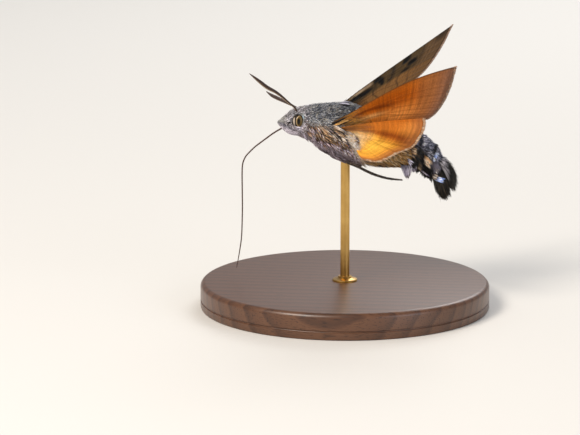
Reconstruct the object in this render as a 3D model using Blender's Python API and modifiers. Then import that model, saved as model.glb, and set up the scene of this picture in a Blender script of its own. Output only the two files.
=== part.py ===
"""Hummingbird hawk moth hovering at a flower, life size, on a plain display stand.

Metres, +Z up. The moth's head points to -X, its left side faces -Y, and the
origin is the centre of the stand's underside.
"""

import math
import random

import bmesh
import bpy
from mathutils import Matrix, Vector

MM = 0.001
GAP = 0.3 * MM
WELD = 0.001 * MM
SMOOTH_BELOW = math.radians(40)
LEFT, RIGHT = -1, 1


def in_mm(*places):
    """Places given in millimetres, as vectors in metres."""
    return [Vector(place) * MM for place in places]


# Stand
BASE_RADIUS = 22.0 * MM
BASE_HEIGHT = 4.0 * MM
BASE_ROUNDING = 0.8 * MM
BASE_SIDES, ROD_SIDES = 48, 16
ROD_RADIUS = 0.7 * MM
ROD_SOCKET_DEPTH = 2.0 * MM

# Body: axis x and z, half depth and half width, from the face to the tail's tip
BODY_STATIONS_MM = (
    (-9.8, 28.20, 0.35, 0.40),
    (-9.2, 28.30, 0.90, 0.85),
    (-8.3, 28.42, 1.55, 1.55),
    (-7.2, 28.55, 2.05, 2.15),
    (-6.0, 28.50, 2.42, 2.55),
    (-4.3, 28.35, 2.90, 3.30),
    (-2.1, 27.95, 3.52, 3.90),
    (0.1, 27.50, 3.90, 4.05),
    (2.6, 26.50, 3.85, 3.85),
    (5.3, 25.40, 3.60, 3.70),
    (7.8, 24.90, 3.10, 3.60),
    (10.2, 24.45, 2.72, 3.40),
    (12.1, 23.50, 2.38, 3.00),
    (13.6, 21.80, 1.80, 2.35),
    (14.6, 20.45, 1.65, 2.45),
    (15.5, 19.20, 1.60, 2.75),
    (16.2, 18.25, 1.15, 2.50),
)
BODY_STATIONS = [tuple(value * MM for value in row) for row in BODY_STATIONS_MM]
NECK_X = -5.4 * MM
WAIST_X = 3.0 * MM
ABDOMEN_CUTS_X = (7.0 * MM, 10.6 * MM, 13.4 * MM)
SEGMENT_STEP = 0.16 * MM
BODY_SIDES, HEAD_SIDES, TAIL_SIDES = 28, 24, 20
RINGS_PER_SEGMENT = 3

# Eyes and palps
EYE_CENTRE = Vector((-6.95, 1.8, 28.9)) * MM
EYE_RADII = Vector((0.92, 0.78, 1.05)) * MM
PALP_LEFT = in_mm((-7.0, -0.9, 27.35), (-8.3, -0.9, 27.25), (-9.35, -0.7, 27.9), (-10.25, -0.4, 28.3))
PALP_RADII = [r * MM for r in (0.42, 0.70, 0.68, 0.20)]

# Feelers
ANTENNA_LEFT = in_mm(
    (-7.0, -1.0, 29.7), (-7.5, -1.6, 30.8), (-8.3, -2.4, 31.7), (-9.2, -3.2, 32.7),
    (-10.15, -4.0, 33.6), (-11.4, -4.95, 34.5), (-12.6, -6.0, 35.7), (-13.75, -7.0, 36.85),
)
ANTENNA_RIGHT = in_mm(
    (-6.8, 0.9, 29.7), (-7.2, 1.5, 30.1), (-8.0, 2.5, 30.3), (-9.0, 3.75, 30.5),
    (-10.0, 5.0, 30.7), (-11.0, 6.2, 30.9), (-12.0, 7.4, 31.1), (-13.0, 8.65, 31.5),
)
ANTENNA_RADII = [r * MM for r in (0.25, 0.25, 0.25, 0.27, 0.31, 0.35, 0.30, 0.08)]

# Tongue, out at full length: it slopes from the mouth, bends at the knee and drops straight
PROBOSCIS_RADIUS = 0.25 * MM
PROBOSCIS_UPPER = in_mm(
    (-9.9, 0, 27.28), (-10.8, 0, 26.68), (-11.9, 0, 25.87), (-12.9, 0, 25.1), (-13.8, 0, 24.38)
)
PROBOSCIS_KNEE = in_mm(
    (-14.04, 0, 24.18), (-14.93, 0, 23.22), (-15.36, 0, 22.55), (-15.64, 0, 21.66), (-15.72, 0, 20.6)
)
PROBOSCIS_LOWER = in_mm(
    (-15.72, 0, 20.3), (-15.71, 0, 18.25), (-15.69, 0, 15.3), (-15.73, 0, 13.05),
    (-15.84, 0, 10.4), (-16.14, 0, 8.2), (-16.6, 0, 5.6),
)

# Legs, left side: from inside the thorax to the claw
LEG_RADIUS = 0.25 * MM
LEG_PATHS = {
    "fore": ((-4.2, 0.8, 26.0), (-3.9, 0.85, 24.8), (-3.3, 0.85, 24.3), (-2.4, 0.85, 23.8), (-1.4, 0.9, 23.35)),
    "mid": ((-2.6, 1.5, 25.2), (-2.0, 1.65, 23.8), (-0.9, 1.7, 23.2), (0.9, 1.7, 22.6), (2.6, 1.6, 22.1)),
    "hind": (
        (-1.9, 2.4, 25.2), (-1.4, 2.75, 24.0), (0.35, 2.6, 22.95), (2.1, 2.5, 22.2),
        (3.5, 2.5, 21.5), (4.9, 2.55, 20.95), (6.7, 2.65, 20.5), (8.9, 2.9, 20.35),
    ),
}
HIND_LEG_RAISED = [z * MM for z in (0, 0, 0.05, 0.2, 0.5, 0.8, 1.0, 1.1)]

# Wings: the chord turns about the span line, and the left wing shows its underside
FOREWING_BASE = Vector((-1.5, 3.8, 29.1)) * MM
FOREWING_LENGTH = 22.2 * MM
TORNUS_ALONG, TORNUS_ACROSS = 12.3 * MM, 6.9 * MM
TERMEN_ROUNDING = 1.55
COSTA_LEFT = (1.1 * MM, 1.5)
COSTA_RIGHT = (0.9 * MM, 0.75)
SPAN_LEFT, CHORD_LEFT = Vector((0.844, -0.297, 0.447)), Vector((0.536, 0.496, -0.683))
SPAN_RIGHT, CHORD_RIGHT = Vector((0.769, 0.245, 0.591)), Vector((0.398, -0.904, -0.154))
WING_STACK, WING_OVERLAP = 1.0 * MM, 0.9 * MM
HINDWING_REAR_ROOT = Vector((2.2, 2.9, 26.4)) * MM
HINDWING_LEFT = in_mm(
    (12.2, -6.7, 28.9), (10.6, -6.0, 26.2), (8.2, -5.3, 25.0), (5.4, -4.9, 23.6), (2.8, -4.7, 23.9)
)
HINDWING_RIGHT = in_mm(
    (12.3, 5.2, 31.2), (10.8, 5.6, 27.6), (8.4, 5.3, 25.0), (5.4, 4.9, 23.6), (2.8, 4.7, 23.9)
)
WING_DOME = 0.35 * MM
EDGE_BOW = 0.3 * MM
MEMBRANE = 0.5 * MM
VEIN_RISE = 0.08 * MM
VEIN_HALF_WIDTH = 0.022
FOREWING_ROWS, HINDWING_ROWS = 12, 10
FOREWING_VEINS = (0.07, 0.19, 0.32, 0.46, 0.61, 0.76, 0.90)
HINDWING_VEINS = (0.10, 0.26, 0.42, 0.58, 0.76)

# Locks: rows of (x in mm, degrees from the back, length, width, lift off the skin)
LOCK_THICKNESS = 0.5 * MM
LOCK_SUNK = 0.35 * MM
LOCK_SHARES = ((0.0, 0.75), (0.4, 1.0), (0.75, 0.8))
LOCK_LEAN = 0.22
THORAX_LOCKS = (
    (-5.1, (28, 60, 92, 120, 142), 1.9, 1.1, 0.42),
    (-4.2, (44, 76, 104, 128), 2.0, 1.2, 0.45),
    (-3.2, (26, 44, 92, 116), 2.1, 1.2, 0.45),
    (-2.1, (36, 104, 122), 2.2, 1.2, 0.45),
    (-1.0, (30, 114), 2.3, 1.2, 0.45),
    (0.4, (32, 108, 124), 2.3, 1.2, 0.45),
)
MIDDLE_LOCKS = (
    (8.0, (64, 84, 106, 128), 2.0, 1.2, 0.50),
    (9.5, (58, 76, 96, 118), 2.2, 1.2, 0.62),
)
REAR_LOCKS = (
    (11.0, (68, 88, 108, 130, 152), 2.0, 1.2, 0.50),
    (12.2, (58, 78, 98, 120, 144), 2.0, 1.2, 0.55),
)
BELLY_TUFT = ((9.1, 156, 1.7), (9.6, 160, 2.1), (10.0, 153, 1.8))
TAIL_CORE_X = 14.7 * MM
TAIL_CORE_SHRINK = 0.5 * MM
TAIL_ROOT = Vector((14.0, 0, 21.2)) * MM
TAIL_END = Vector((16.25, 0, 18.5)) * MM
TAIL_HALF_DEPTH, TAIL_HALF_WIDTH = 1.65 * MM, 2.75 * MM
TAIL_ROOT_SHARE, TAIL_INNER_SHARE = 0.45, 0.82
TAIL_NOTCH, TAIL_RAGGED, TAIL_ROUNDED = 0.6 * MM, 0.35 * MM, 0.5 * MM
TAIL_LAYERS = ((1.0, 6), (0.5, 5), (0.0, 6), (-0.5, 5), (-1.0, 6))


def clear_scene():
    for obj in list(bpy.data.objects):
        bpy.data.objects.remove(obj, do_unlink=True)


clear_scene()
moth = bpy.data.collections.new("hummingbird_hawk_moth")
cutters = bpy.data.collections.new("cutters")
bpy.context.scene.collection.children.link(moth)
bpy.context.scene.collection.children.link(cutters)


def material(name, colour, roughness, metallic=0.0):
    """A plain Principled material from an sRGB hex colour."""
    made = bpy.data.materials.get(name)
    if made is None:
        made = bpy.data.materials.new(name)
        made.use_nodes = True
        channels = [int(colour[i : i + 2], 16) / 255 for i in (1, 3, 5)]
        shader = made.node_tree.nodes["Principled BSDF"]
        shader.inputs["Base Color"].default_value = [c ** 2.2 for c in channels] + [1.0]
        shader.inputs["Roughness"].default_value = roughness
        shader.inputs["Metallic"].default_value = metallic
    return made


def grey_fur():
    return material("grey_fur", "#5f646b", 0.9)


def belly_fur():
    return material("belly_fur", "#6b5a4c", 0.9)


def dark_horn():
    return material("dark_horn", "#2a1d14", 0.5)


def wing_scales():
    return material("wing_scales", "#b4641c", 0.7)


def named(name, mesh, finish, collection=None):
    """A new object with this mesh and material in the moth's collection, or in another."""
    obj = bpy.data.objects.new(name, mesh)
    mesh.materials.clear()
    mesh.materials.append(finish)
    (collection or moth).objects.link(obj)
    return obj


def mesh_of(name, bm):
    bmesh.ops.recalc_face_normals(bm, faces=bm.faces)
    mesh = bpy.data.meshes.new(name)
    bm.to_mesh(mesh)
    bm.free()
    mesh.shade_smooth()
    mesh.set_sharp_from_angle(angle=SMOOTH_BELOW)
    return mesh


def spline(points, t):
    """The Catmull-Rom curve through the points, at t from 0 to len(points) - 1."""
    last = len(points) - 1
    i = min(max(int(t), 0), last - 1)
    f = t - i
    before, start = points[max(i - 1, 0)], points[i]
    end, after = points[i + 1], points[min(i + 2, last)]
    mixed = []
    for a, b, c, d in zip(before, start, end, after):
        bend = (2 * a - 5 * b + 4 * c - d) * f * f + (3 * b - a - 3 * c + d) * f ** 3
        mixed.append(b + 0.5 * ((c - a) * f + bend))
    return mixed


def body_at(t):
    """The axis point, the backward and upward directions, half depth and half width."""
    x, z, depth, width = spline(BODY_STATIONS, t)
    step = 0.01
    x0, z0 = spline(BODY_STATIONS, max(t - step, 0))[:2]
    x1, z1 = spline(BODY_STATIONS, min(t + step, len(BODY_STATIONS) - 1))[:2]
    back = Vector((x1 - x0, 0, z1 - z0)).normalized()
    up = Vector((-back.z, 0, back.x))
    return Vector((x, 0, z)), back, up, depth, width


def station_at(x):
    """The body parameter where the axis passes x."""
    low, high = 0.0, len(BODY_STATIONS) - 1.0
    for _ in range(40):
        middle = (low + high) / 2
        if spline(BODY_STATIONS, middle)[0] < x:
            low = middle
        else:
            high = middle
    return low


def skin_point(t, angle, grow=0.0):
    """A point of the body's surface and its outward direction. Angle 0 is the back, pi / 2 the right side."""
    centre, back, up, depth, width = body_at(t)
    side = Vector((0, 1, 0))
    c, s = math.cos(angle), math.sin(angle)
    out = (up * (c / depth) + side * (s / width)).normalized()
    return centre + up * depth * c + side * width * s + out * grow, out


def body_length(name, start, end, rings, sides, finish, grow=0.0, step=0.0, collection=None):
    """A closed length of the body between two parameters; step raises each segment's rear edge."""
    bm = bmesh.new()
    rows = []
    for i in range(rings + 1):
        t = start + (end - start) * i / rings
        swell = grow + step * (i % RINGS_PER_SEGMENT / (RINGS_PER_SEGMENT - 1) - 0.5)
        rows.append([bm.verts.new(skin_point(t, math.tau * j / sides, swell)[0]) for j in range(sides)])
    for first, second in zip(rows, rows[1:]):
        for j in range(sides):
            k = (j + 1) % sides
            bm.faces.new((first[j], first[k], second[k], second[j]))
    for row in (rows[0], rows[-1]):
        middle = bm.verts.new(sum((v.co for v in row), Vector()) / sides)
        for j in range(sides):
            bm.faces.new((middle, row[j], row[(j + 1) % sides]))
    return named(name, mesh_of(name, bm), finish, collection)


def ball(name, centre, radii, finish, collection=None):
    """An ellipsoid from a UV sphere."""
    bm = bmesh.new()
    bmesh.ops.create_uvsphere(bm, u_segments=16, v_segments=10, radius=1.0)
    for v in bm.verts:
        v.co = Vector(centre) + Vector(a * b for a, b in zip(v.co, radii))
    return named(name, mesh_of(name, bm), finish, collection)


def cutter(obj):
    obj.hide_render = True
    obj.display_type = "WIRE"
    return obj


def cut(obj, tool, solver="EXACT"):
    """Takes the cutter's volume off the object."""
    modifier = obj.modifiers.new("cut_by_" + tool.name, "BOOLEAN")
    modifier.operation = "DIFFERENCE"
    modifier.object = tool
    modifier.solver = solver
    return obj


def applied(obj):
    """Swaps the object's mesh for its evaluated one and drops the modifiers."""
    bpy.context.view_layer.update()
    graph = bpy.context.evaluated_depsgraph_get()
    mesh = bpy.data.meshes.new_from_object(obj.evaluated_get(graph))
    obj.modifiers.clear()
    obj.data = mesh
    return obj


def keep_largest(obj):
    """Leaves only the largest closed surface of the object's mesh."""
    bm = bmesh.new()
    bm.from_mesh(obj.data)
    left = set(bm.verts)
    islands = []
    while left:
        found = [left.pop()]
        island = set(found)
        while found:
            for edge in found.pop().link_edges:
                for v in edge.verts:
                    if v in left:
                        left.remove(v)
                        island.add(v)
                        found.append(v)
        islands.append(island)
    islands.sort(key=len)
    scraps = [v for island in islands[:-1] for v in island]
    bmesh.ops.delete(bm, geom=scraps, context="VERTS")
    bm.to_mesh(obj.data)
    bm.free()
    return obj


def fused(obj, pieces):
    """Joins the pieces to the object in one union and removes them."""
    group = bpy.data.collections.new(obj.name + "_pieces")
    bpy.context.scene.collection.children.link(group)
    for piece in pieces:
        moth.objects.unlink(piece)
        group.objects.link(piece)
    modifier = obj.modifiers.new("fuse", "BOOLEAN")
    modifier.operation = "UNION"
    modifier.operand_type = "COLLECTION"
    modifier.collection = group
    modifier.solver = "MANIFOLD"
    applied(obj)
    for piece in list(group.objects):
        bpy.data.objects.remove(piece, do_unlink=True)
    bpy.data.collections.remove(group)
    return keep_largest(obj)


def lock(spine, outs, width, finish):
    """A flat, four-sided lock of hair through three places on its spine to a point at the fourth."""
    bm = bmesh.new()
    rows = []
    for i, (share, breadth) in enumerate(LOCK_SHARES):
        side = (spine[i + 1] - spine[i]).cross(outs[i]).normalized()
        half = side * width * breadth / 2
        rise = outs[i] * LOCK_THICKNESS * (1 - 0.5 * share) / 2
        rows.append([bm.verts.new(spine[i] + offset) for offset in (half, rise, -half, -rise)])
    point = bm.verts.new(spine[-1])
    for first, second in zip(rows, rows[1:]):
        for j in range(4):
            k = (j + 1) % 4
            bm.faces.new((first[j], first[k], second[k], second[j]))
    for j in range(4):
        bm.faces.new((rows[-1][j], rows[-1][(j + 1) % 4], point))
    bm.faces.new(rows[0])
    bmesh.ops.triangulate(bm, faces=bm.faces)
    return named("lock", mesh_of("lock", bm), finish)


def lock_on_skin(x, angle, length, width, lift, finish):
    """A lock that lies back along the body, leans a little down its side and lifts at the tip."""
    spine, outs = [], []
    for share in (*(share for share, breadth in LOCK_SHARES), 1.0):
        height = lift * share ** 0.7 - LOCK_SUNK * (1 - share) ** 2
        turned = angle + math.copysign(LOCK_LEAN * share, angle)
        place, out = skin_point(station_at(x + length * share), turned, height)
        spine.append(place)
        outs.append(out)
    return lock(spine, outs, width, finish)


def straight_lock(root, tip, out, width, finish):
    """A lock that stands off by itself, from its root to its tip."""
    spine = [root.lerp(tip, share) for share in (*(share for share, breadth in LOCK_SHARES), 1.0)]
    return lock(spine, [out] * len(spine), width, finish)


def locks_from(rows, finish, draw):
    """Both sides' locks for one length of the body, each a little different."""
    locks = []
    for x, angles, length, width, lift in rows:
        for degrees in angles:
            for side in (LEFT, RIGHT):
                locks.append(lock_on_skin(
                    (x + draw.uniform(-0.2, 0.2)) * MM,
                    side * math.radians(degrees + draw.uniform(-3, 3)),
                    length * draw.uniform(0.85, 1.12) * MM,
                    width * draw.uniform(0.9, 1.1) * MM,
                    lift * MM,
                    finish,
                ))
    return locks


def belly_tuft(finish):
    """The pale pointed tufts that hang under the abdomen, one each side."""
    locks = []
    for x, degrees, length in BELLY_TUFT:
        for side in (LEFT, RIGHT):
            root, out = skin_point(station_at(x * MM), side * math.radians(degrees))
            tip = root + (Vector((0.25, 0, 0)) + out * 0.9).normalized() * length * MM
            facing = Vector((0, side, 0.3)).normalized()
            locks.append(straight_lock(root - out * LOCK_SUNK, tip, facing, 0.9 * MM, finish))
    return locks


def tail_locks(finish, draw):
    """The tail's brush: long locks in layers that spread like a fan, shorter in the middle."""
    back = (TAIL_END - TAIL_ROOT).normalized()
    up = Vector((-back.z, 0, back.x))
    locks = []
    for layer, columns in TAIL_LAYERS:
        for i in range(columns):
            across = 2 * i / (columns - 1) - 1
            out = (up * (layer or 0.25) + Vector((0, across * 0.5, 0))).normalized()
            spread = Vector((0, across * TAIL_HALF_WIDTH, 0))
            if columns % 2:
                spread *= TAIL_INNER_SHARE
            root = TAIL_ROOT + (up * TAIL_HALF_DEPTH * layer + spread) * TAIL_ROOT_SHARE
            reach = draw.uniform(-TAIL_RAGGED, TAIL_RAGGED) - abs(across) * TAIL_ROUNDED
            if layer == 0:
                reach -= TAIL_NOTCH
            tip = TAIL_END + up * TAIL_HALF_DEPTH * layer + spread + back * reach
            locks.append(straight_lock(root, tip, out, draw.uniform(1.3, 1.6) * MM, finish))
    return locks


def tube(name, points, radii, finish, steps=2):
    """A round tapered tube along a smooth curve through the points, its end caps welded on."""
    curve = bpy.data.curves.new(name, "CURVE")
    curve.dimensions = "3D"
    curve.bevel_depth = 1.0
    curve.bevel_resolution = 2
    curve.use_fill_caps = True
    line = curve.splines.new("POLY")
    line.points.add((len(points) - 1) * steps)
    for i, point in enumerate(line.points):
        point.co = (*spline(points, i / steps), 1.0)
        point.radius = spline([(radius,) for radius in radii], i / steps)[0]
    route = bpy.data.objects.new(name + "_route", curve)
    moth.objects.link(route)
    bpy.context.view_layer.update()
    graph = bpy.context.evaluated_depsgraph_get()
    bm = bmesh.new()
    mesh = bpy.data.meshes.new_from_object(route.evaluated_get(graph))
    bm.from_mesh(mesh)
    bpy.data.meshes.remove(mesh)
    bpy.data.objects.remove(route, do_unlink=True)
    bmesh.ops.remove_doubles(bm, verts=bm.verts, dist=WELD)
    bmesh.ops.triangulate(bm, faces=bm.faces)
    return named(name, mesh_of(name, bm), finish)


def cylinder(name, radius, bottom, top, sides, finish, collection=None):
    """An upright cylinder on the origin's axis."""
    bm = bmesh.new()
    turn = Matrix.Translation((0, 0, (bottom + top) / 2))
    bmesh.ops.create_cone(
        bm, cap_ends=True, segments=sides, radius1=radius, radius2=radius, depth=top - bottom, matrix=turn
    )
    return named(name, mesh_of(name, bm), finish, collection)


def wing(name, roots, margin, bulges, sweep, veins, rows, finish):
    """A membrane fanned from its root line to its outer margin, with raised veins."""
    columns = sorted(
        {0.0, 1.0, *veins, *(v + d for v in veins for d in (-VEIN_HALF_WIDTH, VEIN_HALF_WIDTH))}
    )
    thick = MEMBRANE + 2 * VEIN_RISE
    bm = bmesh.new()
    weights = bm.verts.layers.deform.verify()
    grid = []
    for i in range(rows + 1):
        u = i / rows
        line = []
        for v in columns:
            root = roots[0].lerp(roots[1], v)
            edge = Vector(spline(margin, v * (len(margin) - 1)))
            front = bulges[0] * (1 - v) ** 2 * math.sin(math.pi * u ** sweep)
            rest = bulges[1] * v ** 2 + bulges[2] * (4 * v * (1 - v))
            vertex = bm.verts.new(root.lerp(edge, u) + front + rest * math.sin(math.pi * u))
            vertex[weights][0] = 1.0 if v in veins and u < 0.97 else MEMBRANE / thick
            line.append(vertex)
        grid.append(line)
    for first, second in zip(grid, grid[1:]):
        for j in range(len(columns) - 1):
            bm.faces.new((first[j], first[j + 1], second[j + 1]))
            bm.faces.new((first[j], second[j + 1], second[j]))
    sheet = named(name, mesh_of(name, bm), finish)
    sheet.vertex_groups.new(name="vein")
    solid = sheet.modifiers.new("thickness", "SOLIDIFY")
    solid.thickness = thick
    solid.offset = 0
    solid.vertex_group = "vein"
    return sheet


def dorsum(side, span, chord):
    """The forewing's rear edge: its root and its tornus."""
    base = Vector((FOREWING_BASE.x, side * FOREWING_BASE.y, FOREWING_BASE.z))
    root = base + Vector((1.9, -side * 0.15, -0.9)) * MM
    return root, base + span * TORNUS_ALONG + chord * TORNUS_ACROSS


def forewing(name, side, span, chord, costa):
    """Forewing: the root lies along the body and the chord turns to its flight angle further out."""
    base = Vector((FOREWING_BASE.x, side * FOREWING_BASE.y, FOREWING_BASE.z))
    outer = FOREWING_LENGTH - TORNUS_ALONG
    margin = []
    for i in range(7):
        share = 1 - (i / 6) ** 0.8
        across = TORNUS_ACROSS * (1 - share ** TERMEN_ROUNDING)
        margin.append(base + span * (TORNUS_ALONG + outer * share) + chord * across)
    roots = [base - span * 1.0 * MM, dorsum(side, span, chord)[0]]
    upper = span.cross(chord) * -side
    bulges = (-chord * costa[0], -chord * EDGE_BOW, upper * WING_DOME)
    return wing(name, roots, margin, bulges, costa[1], FOREWING_VEINS, FOREWING_ROWS, wing_scales())


def hindwing(name, side, span, chord, margin):
    """Hindwing: its front edge lies under the forewing's rear edge, a little way in."""
    root, tornus = dorsum(side, span, chord)
    under = span.cross(chord) * side * WING_STACK - chord * WING_OVERLAP
    roots = [root + under, Vector((HINDWING_REAR_ROOT.x, side * HINDWING_REAR_ROOT.y, HINDWING_REAR_ROOT.z))]
    edge = [tornus + under + span * EDGE_BOW, *margin]
    bulges = (
        -chord * EDGE_BOW,
        Vector((-0.5, side * 0.25, 0)) * MM,
        Vector((0, side, 0)) * WING_DOME,
    )
    return wing(name, roots, edge, bulges, 1.0, HINDWING_VEINS, HINDWING_ROWS, wing_scales())


def build_stand(body_clearance):
    """A turned walnut base with a brass rod let into it, up to the belly."""
    walnut = material("walnut", "#4a2f1e", 0.45)
    brass = material("brass", "#b08d4a", 0.3, 1.0)
    base = cylinder("stand_base", BASE_RADIUS, 0, BASE_HEIGHT, BASE_SIDES, walnut)
    rounding = base.modifiers.new("rounding", "BEVEL")
    rounding.width = BASE_ROUNDING
    rounding.segments = 2
    rounding.limit_method = "ANGLE"
    foot = BASE_HEIGHT - ROD_SOCKET_DEPTH
    bore = cylinder(
        "rod_socket", ROD_RADIUS + GAP, foot - GAP, 2 * BASE_HEIGHT, ROD_SIDES, walnut, cutters
    )
    cut(base, cutter(bore))
    axis_height = body_at(station_at(0))[0].z
    rod = cylinder("stand_rod", ROD_RADIUS, foot, axis_height, ROD_SIDES, brass)
    cut(rod, body_clearance)


def build_head(body_clearance):
    head = body_length("head", 0, station_at(NECK_X - GAP / 2), 12, HEAD_SIDES, grey_fur())
    for side, word in ((LEFT, "left"), (RIGHT, "right")):
        centre = Vector((EYE_CENTRE.x, side * EYE_CENTRE.y, EYE_CENTRE.z))
        room = EYE_RADII + Vector((GAP, GAP, GAP))
        cut(head, cutter(ball("socket_" + word, centre, room, grey_fur(), cutters)))
        ball("eye_" + word, centre, EYE_RADII, material("eye_facets", "#6d5a2c", 0.2))
        path = [Vector((p.x, -side * p.y, p.z)) for p in PALP_LEFT]
        cut(tube("palp_" + word, path, PALP_RADII, material("palp_scales", "#a99fae", 0.9)), body_clearance)
    for word, path in (("left", ANTENNA_LEFT), ("right", ANTENNA_RIGHT)):
        cut(tube("antenna_" + word, path, ANTENNA_RADII, dark_horn()), body_clearance)
    for word, path in (("upper", PROBOSCIS_UPPER), ("knee", PROBOSCIS_KNEE), ("lower", PROBOSCIS_LOWER)):
        tube("proboscis_" + word, path, [PROBOSCIS_RADIUS] * len(path), dark_horn())


def build_body():
    """The thorax, three lengths of abdomen and the tail, each with the locks that grow from it."""
    cuts = [NECK_X, WAIST_X, *ABDOMEN_CUTS_X]
    edges = [(station_at(x - GAP / 2), station_at(x + GAP / 2)) for x in cuts]
    core_end = station_at(TAIL_CORE_X)
    draw = random.Random(7)
    tail = body_length(
        "tail_fan", edges[-1][1], core_end, 4, TAIL_SIDES, dark_horn(), grow=-TAIL_CORE_SHRINK
    )
    fused(tail, tail_locks(dark_horn(), draw))
    for i, (name, finish, rings, step, rows) in enumerate((
        ("thorax", belly_fur(), 12, 0, THORAX_LOCKS),
        ("abdomen_front", grey_fur(), 2 * RINGS_PER_SEGMENT, SEGMENT_STEP, ()),
        ("abdomen_middle", grey_fur(), 2 * RINGS_PER_SEGMENT, SEGMENT_STEP, MIDDLE_LOCKS),
        ("abdomen_rear", grey_fur(), 2 * RINGS_PER_SEGMENT, SEGMENT_STEP, REAR_LOCKS),
    )):
        start, end = edges[i][1], edges[i + 1][0]
        length = body_length(name, start, end, rings, BODY_SIDES, finish, step=step)
        if not rows:
            continue
        pieces = locks_from(rows, finish, draw)
        if name == "abdomen_middle":
            pieces += belly_tuft(finish)
        fused(length, pieces)
        past = body_length(
            name + "_beyond", station_at(cuts[i + 1]), core_end, 10, BODY_SIDES, finish, GAP, 0, cutters
        )
        keep_largest(applied(cut(length, cutter(past), "MANIFOLD")))


def build_legs(body_clearance):
    for side, word in ((LEFT, "left"), (RIGHT, "right")):
        for name, path in LEG_PATHS.items():
            points = [Vector((x, side * y, z)) * MM for x, y, z in path]
            if name == "hind" and side == RIGHT:
                points = [p + Vector((0, 0, rise)) for p, rise in zip(points, HIND_LEG_RAISED)]
            leg = tube("leg_" + name + "_" + word, points, [LEG_RADIUS] * len(points), dark_horn())
            keep_largest(applied(cut(leg, body_clearance)))


def build_wings(body_clearance):
    for side, word, span, chord, costa, margin in (
        (LEFT, "left", SPAN_LEFT, CHORD_LEFT, COSTA_LEFT, HINDWING_LEFT),
        (RIGHT, "right", SPAN_RIGHT, CHORD_RIGHT, COSTA_RIGHT, HINDWING_RIGHT),
    ):
        fore = forewing("forewing_" + word, side, span, chord, costa)
        hind = hindwing("hindwing_" + word, side, span, chord, margin)
        for sheet in (fore, hind):
            keep_largest(applied(cut(sheet, body_clearance, "MANIFOLD")))


def main():
    whole = body_length(
        "body_clearance", 0, len(BODY_STATIONS) - 1, 44, BODY_SIDES, grey_fur(), grow=GAP, collection=cutters
    )
    body_clearance = cutter(whole)
    build_stand(body_clearance)
    build_head(body_clearance)
    build_body()
    build_legs(body_clearance)
    build_wings(body_clearance)


main()
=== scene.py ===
import math

import bmesh
import bpy
import numpy as np
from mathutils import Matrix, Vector


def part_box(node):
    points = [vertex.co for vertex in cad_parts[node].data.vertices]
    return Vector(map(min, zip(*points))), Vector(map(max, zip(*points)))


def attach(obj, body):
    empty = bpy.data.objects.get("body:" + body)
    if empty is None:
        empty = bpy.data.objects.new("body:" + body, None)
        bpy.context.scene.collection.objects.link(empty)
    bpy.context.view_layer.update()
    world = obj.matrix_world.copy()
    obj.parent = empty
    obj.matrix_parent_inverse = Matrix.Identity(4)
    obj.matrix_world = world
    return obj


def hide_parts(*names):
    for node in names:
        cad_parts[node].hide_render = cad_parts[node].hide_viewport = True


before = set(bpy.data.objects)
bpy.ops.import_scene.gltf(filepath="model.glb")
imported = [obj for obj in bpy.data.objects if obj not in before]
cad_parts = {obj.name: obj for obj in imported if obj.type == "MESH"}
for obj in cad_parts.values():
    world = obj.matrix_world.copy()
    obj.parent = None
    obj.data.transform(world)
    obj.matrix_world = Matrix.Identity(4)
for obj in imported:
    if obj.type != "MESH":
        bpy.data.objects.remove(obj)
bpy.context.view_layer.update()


# Stand base
# A turned disc of walnut that carries the whole model. It was cut on a lathe with a flat top,
# a soft shoulder and one fine bead line, then oiled, so that the long grain of the board shows.
MM = 0.001
BASE_RADIUS = 22.0 * MM
BASE_HEIGHT = 4.0 * MM
SHOULDER = 0.8 * MM
BEAD_HEIGHT = 1.3 * MM
BEAD_DEPTH = 0.16 * MM
FELT_GAP = 0.12 * MM
SOCKET_RADIUS = 1.0 * MM
SOCKET_FLOOR = 2.0 * MM
GROWTH_RING = 1.9 * MM
PORE_LENGTH, PORE_WIDTH = 1.6 * MM, 0.16 * MM


def linear(code):
    """An sRGB hex colour as the linear colour that a shader takes."""
    parts = [int(code[i:i + 2], 16) / 255 for i in (1, 3, 5)]
    return [c / 12.92 if c <= 0.04045 else ((c + 0.055) / 1.055) ** 2.4 for c in parts] + [1.0]


def add(tree, kind, inputs=(), **settings):
    """Adds one shader node: settings are its properties, inputs its sockets' values or what feeds them."""
    node = tree.nodes.new("ShaderNode" + kind)
    for name, value in settings.items():
        setattr(node, name, value)
    for name, value in dict(inputs).items():
        if isinstance(value, bpy.types.NodeSocket):
            tree.links.new(value, node.inputs[name])
        else:
            node.inputs[name].default_value = value
    return node


def surface(name, **values):
    """A new Principled material with plain socket values; returns the material, its tree and its shader."""
    made = bpy.data.materials.new(name)
    made.use_nodes = True
    shader = made.node_tree.nodes["Principled BSDF"]
    for key, value in values.items():
        shader.inputs[key.replace("_", " ")].default_value = value
    return made, made.node_tree, shader


def ramp(tree, factor, *stops):
    """A colour ramp through (place, hex colour) stops."""
    node = add(tree, "ValToRGB", {"Fac": factor})
    while len(node.color_ramp.elements) < len(stops):
        node.color_ramp.elements.new(0.5)
    for element, (place, code) in zip(node.color_ramp.elements, stops):
        element.position = place
        element.color = linear(code)
    return node.outputs["Color"]


def roughen(tree, shader, height, distance, strength=1.0):
    """Feeds a height pattern to the shader's normal; distance is the real depth in metres."""
    bump = add(tree, "Bump", {"Height": height, "Distance": distance, "Strength": strength})
    tree.links.new(bump.outputs["Normal"], shader.inputs["Normal"])


def place(name, mesh, finish, slot, *nodes):
    """Puts a mesh in the scene as a piece that rides on the model, and stands for the nodes named."""
    piece = bpy.data.objects.new(name, mesh)
    bpy.context.scene.collection.objects.link(piece)
    mesh.materials.append(finish)
    mesh.shade_smooth()
    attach(piece, "root")
    if nodes:
        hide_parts(*nodes)
    return piece


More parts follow.
